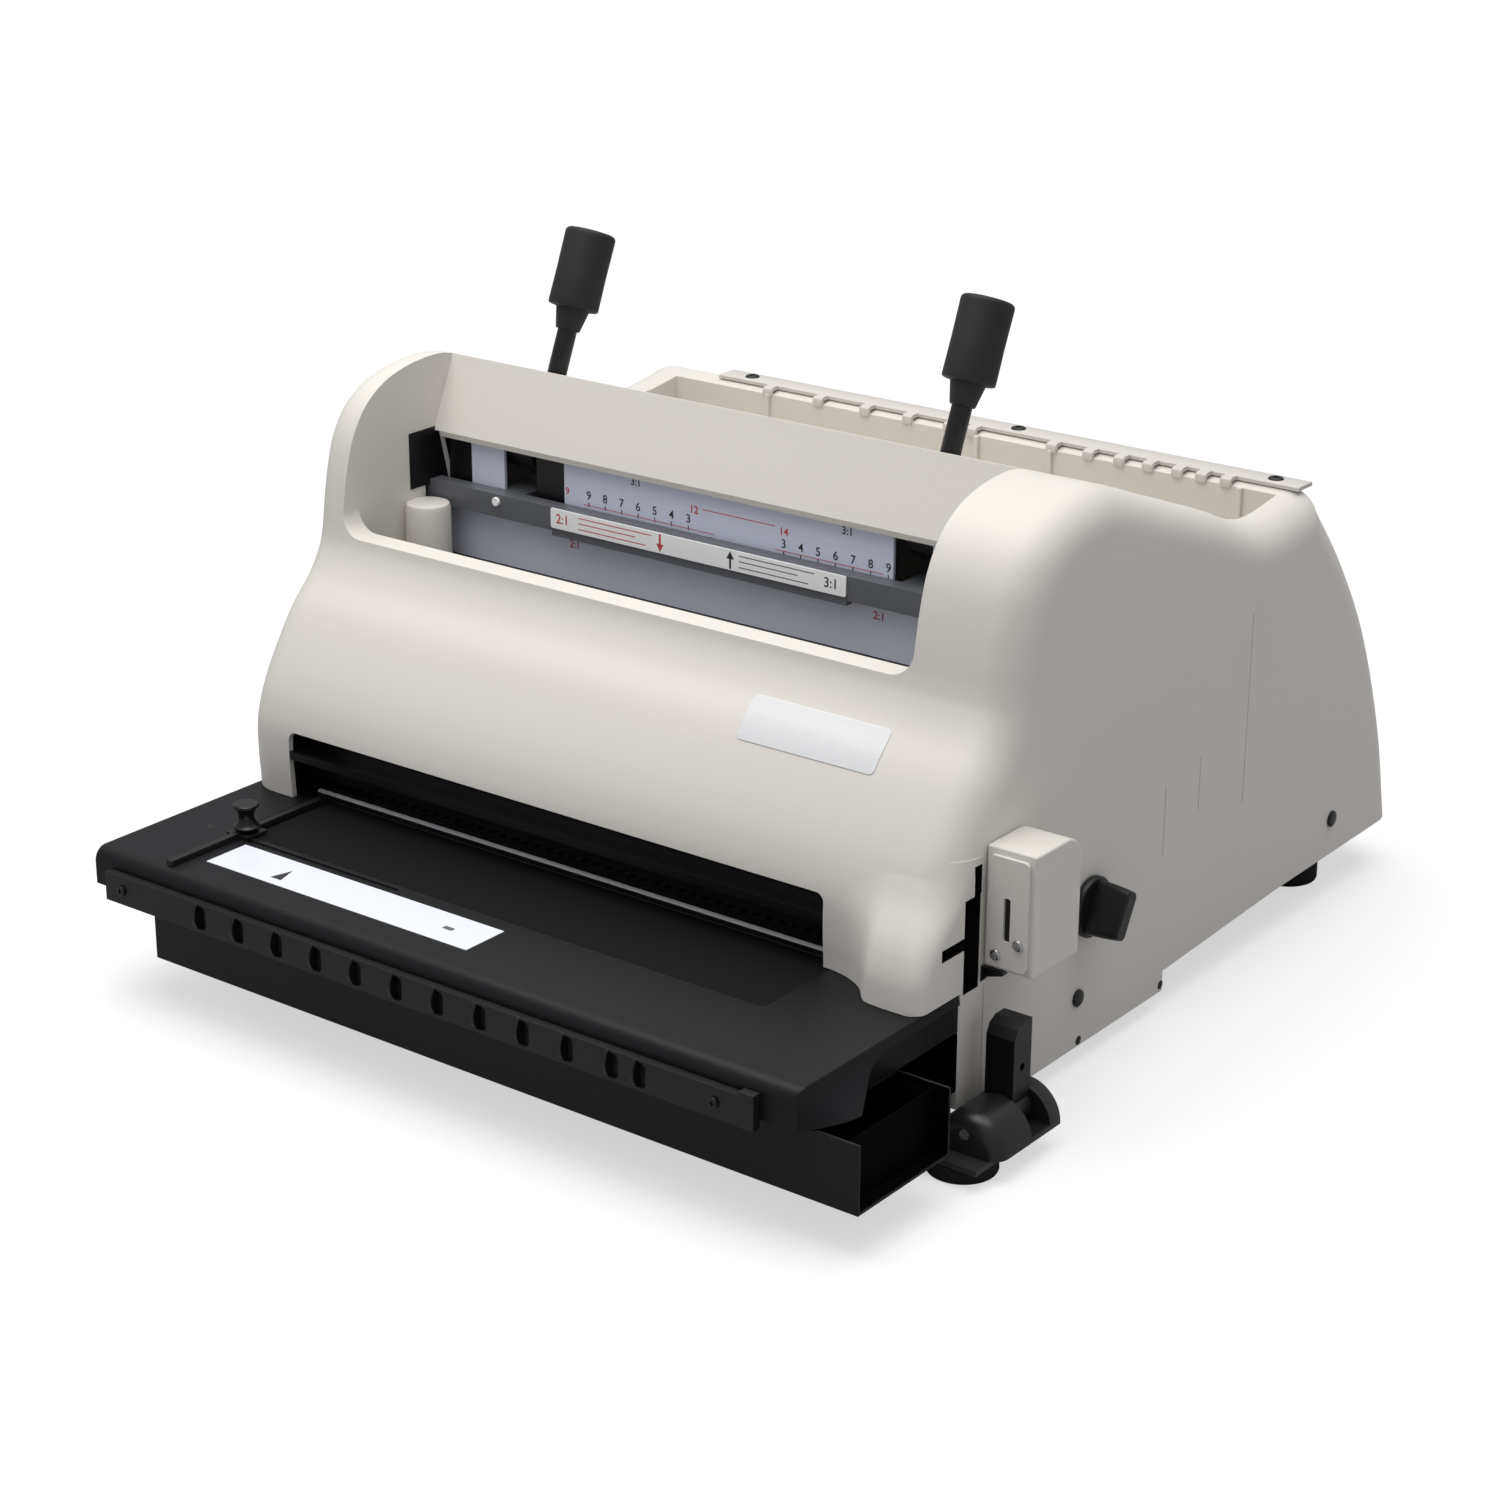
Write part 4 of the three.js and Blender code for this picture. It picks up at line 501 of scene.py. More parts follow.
@dataclass
class Workshop:
    """Turns shapes into finished Blender objects that ride on CAD bodies.

    Attributes:
        datum: place of the drawing frame.
        paints: maker of materials.
        made: the finished objects.
    """

    datum: Datum
    paints: Paints
    made: list = field(default_factory=list)

    def scratch(self, shape: Shape) -> Obj:
        """Make an unfinished object.

        Args:
            shape: its shape in drawing millimetres.

        Returns:
            An object with the mesh in metres.
        """
        mesh = bpy.data.meshes.new("scratch")
        mesh.from_pydata(self.datum.metres(shape.verts), [], shape.faces)
        mesh.validate()
        mesh.update()
        return placed("scratch", mesh)

    def carve(self, shape: Shape, *removed, joined: tuple = (), kept: tuple = ()) -> Obj:
        """Run booleans on a shape one after another and apply them.

        Args:
            shape: the first solid.
            removed: shapes or scratch objects to cut away.
            joined: shapes to add before that.
            kept: shapes that the result is held inside at the end.

        Returns:
            An object whose mesh holds the result.
        """
        target = self.scratch(shape)
        used = []
        for cut, tools in ((Cut.JOIN, joined), (Cut.REMOVE, removed), (Cut.KEEP, kept)):
            for tool in tools:
                used.append(tool if isinstance(tool, Obj) else self.scratch(tool))
                modifier = target.modifiers.new("cut", "BOOLEAN")
                modifier.operation = cut.value
                modifier.solver = "EXACT"
                modifier.object = used[-1]
        fresh = baked(target)
        target.modifiers.clear()
        old, target.data = target.data, fresh
        bpy.data.meshes.remove(old)
        for tool in used:
            bpy.data.objects.remove(tool)
        return target

    def coat(self, obj: Obj, finish: Finish, round_mm: float, segments: int = 2,
             degrees: float = 45.0) -> bpy.types.BevelModifier | None:
        """Paint an object and soften its edges.

        Args:
            obj: object with the mesh.
            finish: its finish.
            round_mm: width of the rounded edges, none where 0.
            segments: pieces across a rounded edge.
            degrees: only steeper edges are rounded.

        Returns:
            The modifier that rounds the edges, if any.
        """
        obj.data.materials.clear()
        obj.data.materials.append(self.paints.get(finish))
        if not round_mm:
            return None
        bevel = obj.modifiers.new("edges", "BEVEL")
        bevel.width = round_mm / MM
        bevel.segments = segments
        bevel.limit_method = "ANGLE"
        bevel.angle_limit = math.radians(degrees)
        return bevel

    def piece(self, name: str, shape: Shape | list | Obj, finish: Finish, body: str = "chassis", *,
              round_mm: float = 0.0, segments: int = 3, stands_for: str = "", weights: bool = False,
              smooth_deg: float = 40.0) -> None:
        """Round the edges, shade, paint and place a piece.

        Args:
            name: plain name of the piece.
            shape: its shape, a list of shapes, or an object with its mesh.
            finish: its finish.
            body: CAD body it rides on.
            round_mm: width of the rounded edges, none where 0.
            segments: pieces across a rounded edge.
            stands_for: CAD node that it replaces.
            weights: whether edge weights choose the rounding.
            smooth_deg: steeper edges stay sharp.
        """
        if isinstance(shape, list):
            shape = Shape.joined(shape)
        obj = shape if isinstance(shape, Obj) else self.scratch(shape)
        obj.name = name
        obj.data.name = name
        obj.data.shade_smooth()
        obj.data.set_sharp_from_angle(angle=math.radians(smooth_deg))
        bevel = self.coat(obj, finish, round_mm, segments, smooth_deg)
        if bevel:
            bevel.limit_method = "WEIGHT" if weights else "ANGLE"
            bevel.harden_normals = True
            bevel.miter_outer = "MITER_ARC"
        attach(obj, body)
        if stands_for:
            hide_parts(stands_for)
        self.made.append(obj)

    def dress(self, finish: Finish, round_mm: float, *nodes: str) -> None:
        """Give CAD nodes a finish and soft edges where they are shown as they are."""
        for node in nodes:
            self.coat(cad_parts[node], finish, round_mm)

    def lettering(self, name: str, text: str, size: float, at: tuple, finish: Finish,
                  body: str = "chassis") -> None:
        """Set a plain number as a thin mesh.

        Args:
            name: name of the piece.
            text: the digits.
            size: height in millimetres.
            at: drawing point of its middle.
            finish: ink.
            body: CAD body it rides on.
        """
        curve = bpy.data.curves.new(name, "FONT")
        curve.body = text
        curve.size = size / MM
        curve.align_x = curve.align_y = "CENTER"
        curve.extrude = 0.00005
        curve.offset = 0.00008
        letter = placed(name, curve)
        mesh = baked(letter)
        bpy.data.objects.remove(letter)
        mesh.transform(Matrix.Translation(Vector(self.datum.metres(at))) @ UPRIGHT)
        self.piece(name, placed(name, mesh), finish, body)


CASE_OUTLINE = np.array([
    (1, -150), (1, 0), (0, 20), (0.5, 40), (4, 54), (10, 68), (20, 85), (34, 105), (50, 122), (58, 135),
    (60.5, 144), (63, 160), (67, 180), (73, 198), (84, 214), (100, 225), (120, 231), (145, 233), (158, 231),
    (210, 212.5), (265, 192.5), (320, 172.5), (365, 176), (379, 178), (388, 168), (420, 132), (455, 81),
    (487, 8), (504, -55), (529, -150)])
BAY_SECTION = np.array([(75, 155), (75, 112), (150, 112), (150, 150), (141, 188), (149.5, 208), (155, 221),
                        (161, 236), (150, 300), (75, 300)], dtype=float)


def case_curve(coarse: np.ndarray = CASE_OUTLINE) -> np.ndarray:
    """Run the smooth outline of the case through its points; the two lowest stay corners."""
    return smoothed(coarse, 5, (0, len(CASE_OUTLINE) - 1))


@dataclass
class CaseCover:
    """The cream moulding over the whole machine.

    Attributes:
        left, right: ends along X.
        wall: thickness.
        end_round: radius of the ends.
        bay: half length of the closing bay.
        round_steps: pieces round an end.
        widest, rim: widths of the rounded edges above and round the bay.
        port: section of the tool port at the right end, in Y and Z.
        grooves: y, lower z and upper z of the thin lines on the right end.
        toe_plan: how far the toe stands forward by x, as a share.
        toe_height: the same by z.
    """

    shop: Workshop
    left: float = -228.0
    right: float = 263.6
    wall: float = 3.5
    end_round: float = 22.0
    bay: float = 200.0
    round_steps: int = 8
    widest: float = 6.0
    rim: float = 4.0
    port: tuple = ((19.3, -1.6), (33.3, -1.6), (33.3, 50), (34, 50), (34, 66), (27.5, 66), (27.5, 50),
                   (19.3, 50), (19.3, 30), (-0.5, 30), (-0.5, 23.2), (19.3, 23.2))
    grooves: tuple = ((214.5, 9.1, 50.1), (251.5, 24.9, 57.1), (302.4, 13.0, 126.1))
    toe_plan: tuple = ((187, 0.0), (194, 0.012), (202, 0.07), (208, 0.15), (214, 0.28), (219, 0.43),
                       (223, 0.62), (226.5, 0.82), (229.5, 0.93), (234, 0.975), (241, 1.0), (300, 1.0))
    toe_height: tuple = ((-6, 1.0), (0, 0.98), (14, 0.88), (24, 0.74), (32, 0.58), (38, 0.42), (44, 0.25),
                         (50, 0.12), (57, 0.04), (64, 0.0), (70, 0.0))

    def shell(self, shrink: float) -> Shape:
        """Draw the case body as one solid with rounded ends.

        Row i at an end lies at x = x_end - R (1 - sin a) and is the outline moved in by
        R (1 - cos a), for a from 0 to 90 degrees.

        Args:
            shrink: how far the whole body is moved in, for the hollow inside.

        Returns:
            The closed body.
        """
        coarse = grown(CASE_OUTLINE, -shrink)
        radius = self.end_round - shrink
        angles = np.radians(np.linspace(90, 0, self.round_steps + 1))
        low, high = self.left + shrink, self.right - shrink
        rows = []
        for end, sign, turns in ((low, 1, angles), (high, -1, angles[::-1])):
            for a in turns:
                fine = case_curve(grown(coarse, -radius * (1 - math.cos(a))))
                rows.append(np.insert(fine, 0, end + sign * radius * (1 - math.sin(a)), axis=1))
            if sign == 1:
                rows += [np.insert(case_curve(coarse), 0, x, axis=1)
                         for x in np.linspace(low + radius, high - radius, 9)[1:-1]]
        return skin(rows).flipped()

    def window(self, wider: float = 0.0) -> Shape:
        """Front part of the bay, open upwards, its two lower corners rounded."""
        half = self.bay + wider
        return prism(round_rect(-half, half, 142 - wider, 330, 14, 12), Y, -260, 76 + wider)

    def cutters(self) -> list:
        """Draw the openings of the case.

        Returns:
            Solids to cut away: the bay and its window, the grooves, the trough, the hatch inside, the notch
            of the bay, the port, the open underside, the paper slot, the mains inlet and the lever slots.
        """
        hatch = [(79, 100), (170, 100), (170, 187.7), (144.5, 187.7), (79, 112.3)]
        notch = [(120, 160), (132, 160), (132, 128), (150, 128), (150, 190), (132, 190), (132, 178),
                 (120, 178)]
        skirt = [(-400, 0.3), (17, 0.3), (17, -65.1), (40, -65.1), (50, -74), (222, -74), (222, -62),
                 (350, -57), (557, -55), (900, -55), (900, -400), (-400, -400)]
        along, across = np.array((0.2605, -0.9655)), np.array((0.9655, 0.2605))
        inlet = [np.array((494.0, -18.1)) + 13 * i * along + 8 * k * across
                 for i, k in ((1, 1), (-1, 1), (-1, -1), (1, -1))]
        return [
            prism(BAY_SECTION, X, -self.bay, self.bay),
            self.window(),
            *[box(263.2, 270, y, y + 0.9, z0, z1) for y, z0, z1 in self.grooves],
            box(263.0, 270, 37.8, 38.7, -62, -2),
            box(-195, 240, 300, 365, 140, 260),
            prism(hatch, X, -196, 196),
            prism(notch, X, -203.9, -199.7),
            prism(self.port, X, 200, 280),
            prism(skirt, X, -500, 500),
            prism(round_rect(-190, 190, -41, 41, 5), Y, -60, 40),
            prism(inlet, X, 134, 166),
            box(-147.5, -130.5, 171, 236, 200, 250),
            box(130.5, 147.5, 171, 236, 200, 250),
        ]

    def toe(self) -> Shape:
        """Draw the foot of the case that stands forward at the right.

        The front lies at y = f(z) + 0.4 - 22.9 a(x) b(z), where f is the front of the case and a and b run
        from 0 to 1.  At the right end the row at angle t lies at x = x_end - r (1 - sin t) and is moved
        back by r (1 - cos t), where r grows with z from 9 mm to the radius of the case.

        Returns:
            The foot, which reaches 34 mm into the case.
        """
        start, least, reach, back = self.toe_plan[0][0], 9, 22.9, 34.0
        z = np.linspace(-6, 70, 39)
        outline = case_curve()[:32]
        front = np.interp(z, outline[:, 1], outline[:, 0]) + 0.4
        bulge = np.interp(z, *zip(*self.toe_height))
        bulge = np.convolve(np.pad(bulge, 2, mode="edge"), np.ones(5) / 5, mode="valid")
        part = np.clip((z - 12) / 50, 0, 1)
        radius = least + (self.end_round - least) * part ** 2 * (3 - 2 * part)
        end = self.right - 0.06
        rows = []
        for u in np.linspace(0, 1, 34):
            x = start + u * (end - radius - start)
            rows.append((x, front - reach * np.interp(x, *zip(*self.toe_plan)) * bulge))
        last = rows[-1][1]
        for t in quarter(10)[1:]:
            rows.append((end - radius * (1 - math.sin(t)), last + radius * (1 - math.cos(t))))
        return skin([np.array([*zip(x, y, z), (x[-1], back, z[-1]), (x[0], back, z[0])])
                     for x, y in rows]).flipped()

    def badge(self) -> None:
        """Lay the bare card on the front: a thin strip along the face, cut to a rounded rectangle."""
        outline = case_curve()
        y, z = outline.T
        part = (y > 15) & (y < 62) & (z > 80) & (z < 140)
        card = prism(np.concatenate([outline[part], grown(outline, 0.45)[part][::-1]]), X, 100, 210)
        cut = self.shop.carve(card, kept=[prism(round_rect(111, 199, 99, 118.5, 3, 6), Y, -20, 90)])
        self.shop.piece("bare_badge", cut, CREAM_BARE, round_mm=0.2, segments=2)

    def weigh(self, obj: Obj) -> None:
        """Give each sharp edge the share of the widest rounding that suits its place.

        Args:
            obj: the carved case.
        """
        mesh = bmesh.new()
        mesh.from_mesh(obj.data)
        bmesh.ops.remove_doubles(mesh, verts=mesh.verts, dist=1e-6)
        bmesh.ops.dissolve_degenerate(mesh, dist=1e-6, edges=mesh.edges)
        layer = mesh.edges.layers.float.new("bevel_weight_edge")
        for edge in mesh.edges:
            if len(edge.link_faces) != 2 or edge.calc_face_angle(0) < math.radians(34):
                continue
            middle = np.array(edge.verts[0].co + edge.verts[1].co) * MM / 2 - self.shop.datum.shift
            edge[layer] = self.rounding(*middle) / self.widest
        mesh.to_mesh(obj.data)
        mesh.free()

    def rounding(self, x: float, y: float, z: float) -> float:
        """Choose how wide the edge at a place is rounded.

        Args:
            x, y, z: drawing point in the middle of the edge.

        Returns:
            Width in millimetres: widest above the bay, less round it, at the trough, at the lips of the
            paper slot and at the lever slots, and least on every other edge.
        """
        outer = abs(x) <= self.bay + 0.5
        if outer and abs(abs(x) - self.bay) < 0.5 and z > 155 and y > 55:
            return self.rim if y < 140 else 3.0
        if outer and 57 < y < 70 and 140 < z < 157:
            return self.rim
        if outer and 150 < y < 166 and z > 222:
            return self.widest
        if 299 < y < 366 and z > 165:
            return 2.5
        if y < 10 and 35 < z < 47 and abs(x) < 191:
            return 1.6
        if 170 < y < 237 and z > 205:
            return 1.5
        return 0.6

    def build(self) -> None:
        """Make the case, the bare badge on its front, the collar in its port and the post in its bay."""
        shop, reach = self.shop, self.bay + self.wall
        hollow = shop.carve(
            self.shell(self.wall), prism(grown(BAY_SECTION, self.wall), X, -reach, reach),
            self.window(self.wall), box(-198.5, 243.5, 296.5, 368.5, 136.5, 280))
        cover = shop.carve(self.shell(0.0), hollow, *self.cutters(), joined=[self.toe()])
        self.weigh(cover)
        shop.piece("case_cover", cover, CREAM, round_mm=self.widest, segments=5, stands_for="main_cover",
                   weights=True, smooth_deg=34)
        self.badge()
        collar = shop.carve(prism(self.port, X, 253, 263.3), prism(grown(self.port, -0.2), X, 250, 266))
        shop.piece("port_collar", collar, SATIN_BLACK)
        post = [(12.5, 112.4), (13.5, 113), (13.5, 147), (12.6, 149.4), (11, 150)]
        shop.piece("corner_post", spun(post, Z, (-189, 122)), CREAM)


PLATE_SCREWS = ((272.6, 18.4), (285.8, 26.8))


@dataclass
class Screws:
    """Heads of the screws that show, each with a cross recess."""

    shop: Workshop

    def row(self, name: str, axis: Axis, centres: tuple, low: float, high: float, radius: float,
            finish: Finish, stands_for: str, recess: bool = True) -> None:
        """Make a row of domed heads, numbered from 1.

        Args:
            name: name of the pieces.
            axis: axis of the screws; a head along Y faces the front, any other up its axis.
            centres: the two other coordinates of each.
            low: lower end of the head along the axis.
            high: upper end of the head along the axis.
            radius: radius of the head.
            finish: their finish.
            stands_for: name of the CAD nodes that they replace.
            recess: whether they have a cross recess.
        """
        tall, wide, long = high - low, radius * 0.13, radius * 0.55
        profile = [(radius * 0.97, low), (radius, low + tall * 0.12)]
        profile += [(radius * (1 - 0.28 * s ** 2.4), low + tall * (0.45 + 0.55 * s))
                    for s in np.linspace(0, 1, 6)]
        face = (high - tall * 0.55, high + 1)
        if axis is Y:
            profile = [(r, low + high - h) for r, h in reversed(profile)]
            face = (low - 1, low + tall * 0.55)
        for i, (u, v) in enumerate(centres, 1):
            cross = [prism([(u - a, v - b), (u + a, v - b), (u + a, v + b), (u - a, v + b)], axis, *face)
                     for a, b in ((wide, long), (long, wide)) if recess]
            self.shop.piece(f"{name}_{i}", self.shop.carve(spun(profile, axis, (u, v), 40), *cross), finish,
                            round_mm=0.15, segments=2, stands_for=f"{stands_for}_{i}")

    def build(self) -> None:
        """Make every screw."""
        self.row("rail_screw", Z, ((-144.2, 378.98), (57.14, 378.98), (231.86, 378.98)), 180.0, 181.95, 4.6,
                 SATIN_BLACK, "gauge_screw")
        self.row("bar_screw", Y, ((-197.71, -17.5), (216.94, -17.5)), -126.8, -125.2, 3.0, SATIN_BLACK,
                 "holder_screw")
        self.row("plate_screw", Y, PLATE_SCREWS, 32.9, 34.5, 3.0, STEEL, "end_cover_screw")
        self.row("side_cap", X, ((131.07, -44.5), (416.16, -33.0)), 263.7, 265.4, 5.0, SATIN_BLACK,
                 "case_screw", recess=False)


@dataclass
class WorkTable:
    """The black table with its sunk panel, groove, scale strip and side apron."""

    shop: Workshop
    left: float = -224.4
    right: float = 262.7
    front: float = -119.7
    back: float = 16.8
    tall: float = 21.5

    def apron(self) -> Shape:
        """Flare at the right front corner, which ends in a strip along the edge.

        The skirt leaves the table by x = r(y) (s h(y) / h0)^1.7 at the depth s h(y), for s from 0 at the
        top to 1 at the lower edge.  The height h stays at h0 = 21.3 mm as far as y = -86 and falls to the
        5 mm strip from there; the reach r grows to 14 mm over the first length.

        Returns:
            The skirt, 2.2 mm thick.
        """
        most, inside = 21.3, self.right - 1.2
        y = np.concatenate([np.linspace(*span) for span in (
            (-119.5, -86, 16), (-84.5, -45, 32), (-42, 16.5, 10))])
        grow = np.clip((y + 119.5) / 31.5, 0, 1)
        tall = np.interp(y, (-119.5, -86, -80, -75.3, -68.8, -66, -62, -56, -50, -45, 16.5),
                         (most, most, 18.4, 16.0, 12.0, 10.3, 8.2, 6.4, 5.4, 5.0, 5.0))
        reach = 14.0 * (1 - (1 - grow) ** 1.5)
        depth = tall[:, None] * np.linspace(0, 1, 16)[None, :]
        x = self.right + 0.35 + reach[:, None] * (depth / most) ** 1.7
        outer = np.stack([x, np.broadcast_to(y[:, None], x.shape), -0.5 - depth * 0.985], axis=-1)
        inner = outer.copy()
        inner[..., 0] = np.maximum(outer[..., 0] - 2.2, inside)
        inner[:, 0, 0] = inside
        return skin(np.concatenate([outer, inner[:, ::-1]], axis=1)).flipped()

    def build(self) -> None:
        """Make the table and what lies on it."""
        shop, front, nose = self.shop, self.front, 8
        profile = [(front, -self.tall)]
        profile += [(front + nose - nose * math.cos(a), -nose + nose * math.sin(a)) for a in quarter(15)]
        profile += [(self.back, 0), (self.back, -self.tall)]
        hollow = [(front + 3, -40), (front + 3, -8), (front + 7, -3), (30, -3), (30, -40)]
        table = shop.carve(
            prism(profile, X, self.left, self.right),
            prism(hollow, X, self.left + 3, self.right - 3),
            prism(round_rect(-180, 194, -55, 12, 3, 6), Z, -0.9, 5),
            prism(round_rect(-165, -50, -61.5, -58.5, 1.4, 6), Z, -1.4, 5),
            box(-161.3, 31.3, -95.3, -64.7, -1.1, 5))
        shop.piece("work_table_top", table, TABLE, round_mm=0.8, stands_for="work_table")
        shop.piece("table_apron", self.apron(), TABLE, round_mm=0.3, smooth_deg=50)
        shop.piece("table_panel", prism(round_rect(-179.7, 193.7, -54.7, 11.7, 2.8, 6), Z, -1.2, -0.55),
                   VELVET, round_mm=0.2)
        shop.piece("scale_strip_card", box(-161, 31, -95, -65, -1.1, -0.05), STRIP, round_mm=0.1,
                   stands_for="scale_strip")
        for name, flat, ink in (("strip_arrow", [(-113.5, -76), (-109.6, -89), (-117.5, -89)], INK),
                                ("strip_mark", round_rect(2, 9, -82, -78.6, 1.2, 5), BAR_GREY)):
            shop.piece(name, prism(flat, Z, -0.1, 0.02), ink)
        dowel = [(0.2, -0.3), (2.1, -0.3), (2.1, 0.05), (1.6, 0.25), (0.2, 0.25)]
        shop.piece("table_dowel", spun(dowel, Z, (-196.4, -58.3), 24), SATIN_BLACK)
        shop.dress(BLACK, 0.5, "edge_guide")
        self.clamp()

    def clamp(self) -> None:
        """Make the waisted knob on the edge guide: r = 7.5 - 3.2 sin(pi s)^0.8 along its height."""
        low, high = 3.6, 18.6
        share = np.linspace(0, 1, 25)
        rings = [(0.3, 0.6), (1.2, 0.6), (1.2, low), (6.9, low), (7.4, low + 0.5)]
        rings += [(7.5 - 3.2 * np.sin(np.pi * s) ** 0.8, low + 1.6 + s * (high - low - 3.2)) for s in share]
        rings += [(7.4, high - 0.5), (6.9, high - 0.05), (0.3, high)]
        self.shop.piece("guide_knob", spun(rings, Z, (-171.5, -53.5)), SATIN_BLACK, "guide_clamp_knob",
                        stands_for="guide_clamp_knob")


@dataclass
class WireHolder:
    """The black bar in front of the table with the hooks that carry a wire."""

    shop: Workshop
    front: float = -125.0
    back: float = -120.0
    pitch: float = 28.9
    radius: float = 11  # of a hook's nose
    sunk: float = 8  # how far behind the front its centre lies

    def hook(self, x: float) -> Shape:
        """Draw one hook: a round nose that stands out of the bar.

        Args:
            x: its left side.

        Returns:
            The hook, 2.6 mm thick.
        """
        radius, centre, back = self.radius, self.front + self.sunk, self.front + 3.4
        spread = math.acos(self.sunk / radius)
        nose = [(centre - radius * math.cos(t * spread), -16.6 + radius * math.sin(t * spread))
                for t in np.linspace(-1, 1, 25)]
        nose += [(back, nose[-1][1]), (back, nose[0][1])]
        return prism(nose, X, x, x + 2.6)

    def build(self) -> None:
        """Make the bar, its end block and the hooks."""
        shop, front = self.shop, self.front
        places = [-140 + i * self.pitch for i in range(11)] + [166.5]
        pockets = [prism(round_rect(x - 0.4, x + 8.2, -24, -10.4, 3, 5), Y, front - 2, front + 3)
                   for x in places]
        bar = shop.carve(box(-211, 232, front, self.back, -26, -9), *pockets,
                         joined=[box(231.7, 241, front - 0.3, self.back, -26, -7)])
        shop.piece("holder_bar", bar, HOLDER, round_mm=0.7, stands_for="wire_holder_bar")
        shop.piece("holder_hooks", [self.hook(x) for x in places], SATIN_BLACK, round_mm=0.5)


@dataclass
class ChipTray:
    """The sleeve under the table with the drawer for punched chips.

    Attributes:
        sleeve, hollow, open_roof, drawer_end_shade: sides of a block: x, x, y, y, z, z.
        The drawer's end block is near black as painted shade.
        shade_sheets: the same for each black sheet of painted shade inside the sleeve.
    """

    shop: Workshop
    sleeve: tuple = (-188, 293.4, -111.6, -34, -60, -22)
    hollow: tuple = (-186.4, 300, -110, -35.6, -58.4, -23.6)
    open_roof: tuple = (262, 300, -110, -35.6, -30, -20)
    shade_sheets: tuple = ((250, 292.9, -110.05, -109.85, -58.3, -22.3), (250, 292.9, -35.75, -35.55, -58.3, -22.3),
                      (250, 292.9, -109.8, -35.8, -58.45, -58.25))
    drawer_end_shade: tuple = (283.7, 284.5, -108.9, -36.7, -57.5, -24.2)

    def build(self) -> None:
        """Make the sleeve, its roof open past the table, with black sheets of painted shade inside, and paint
        the drawer near black, partly its own colour and partly painted shade.
        """
        shop = self.shop
        sleeve = shop.carve(box(*self.sleeve), box(*self.hollow), box(*self.open_roof))
        shop.piece("tray_sleeve", sleeve, TRAY, round_mm=0.5, stands_for="chip_sleeve")
        # Black sheets of painted shade line the sleeve, so its open end reads as black shade.
        shop.piece("sleeve_shade_sheets", [box(*sides) for sides in self.shade_sheets], DRAWER_AND_SHADE_BLACK)
        # The drawer and its end get the near-black painted shade colour.
        shop.dress(DRAWER_AND_SHADE_BLACK, 0.5, "chip_drawer")
        shop.piece("drawer_end_shade", box(*self.drawer_end_shade), DRAWER_AND_SHADE_BLACK, "chip_drawer", round_mm=0.2)


@dataclass
class PunchTool:
    """The die plate, guide block and comb in the paper slot, and the drive behind them."""

    shop: Workshop
    lip: tuple = ((17.4, -0.7), (19.9, -0.7), (19.9, 0.9), (19.4, 1.3), (18.9, 1.3), (17.4, 0.2))
    # Black sheets of painted shade under the right end of the table.
    shades: tuple = ((183, 262.8, 15.9, 16.7, -53.5, -22.2), (183, 262.8, -33.8, 15.9, -54.3, -53.5))

    def build(self) -> None:
        """Finish the steel pieces of the tool and the drive, and put black sheets of painted shade under the
        right end of the table.
        """
        shop = self.shop
        shop.dress(STEEL, 0.25, "punch_comb", "depth_stop", "lock_pin", "margin_cam", "press_shaft",
                   "drive_gear", "idler_gear", "motor_pinion", "lever_shaft")
        shop.dress(TOOL_BLACK, 0.25, "guide_block", "die_plate", "die_bed")
        shop.dress(DARK_METAL, 0.35, "table_carrier", "base_plate", "frame_left", "frame_right", "press_beam",
                   "motor", "motor_cradle", "chip_chute", "foot_beam", "anvil_shelf")
        # The lip is painted near white as a highlight.
        shop.piece("slot_lip", prism(self.lip, X, -186, 189), LIP_HIGHLIGHT, round_mm=0.12, segments=2)
        shop.piece("base_shade", [box(*sides) for sides in self.shades], DRAWER_AND_SHADE_BLACK)


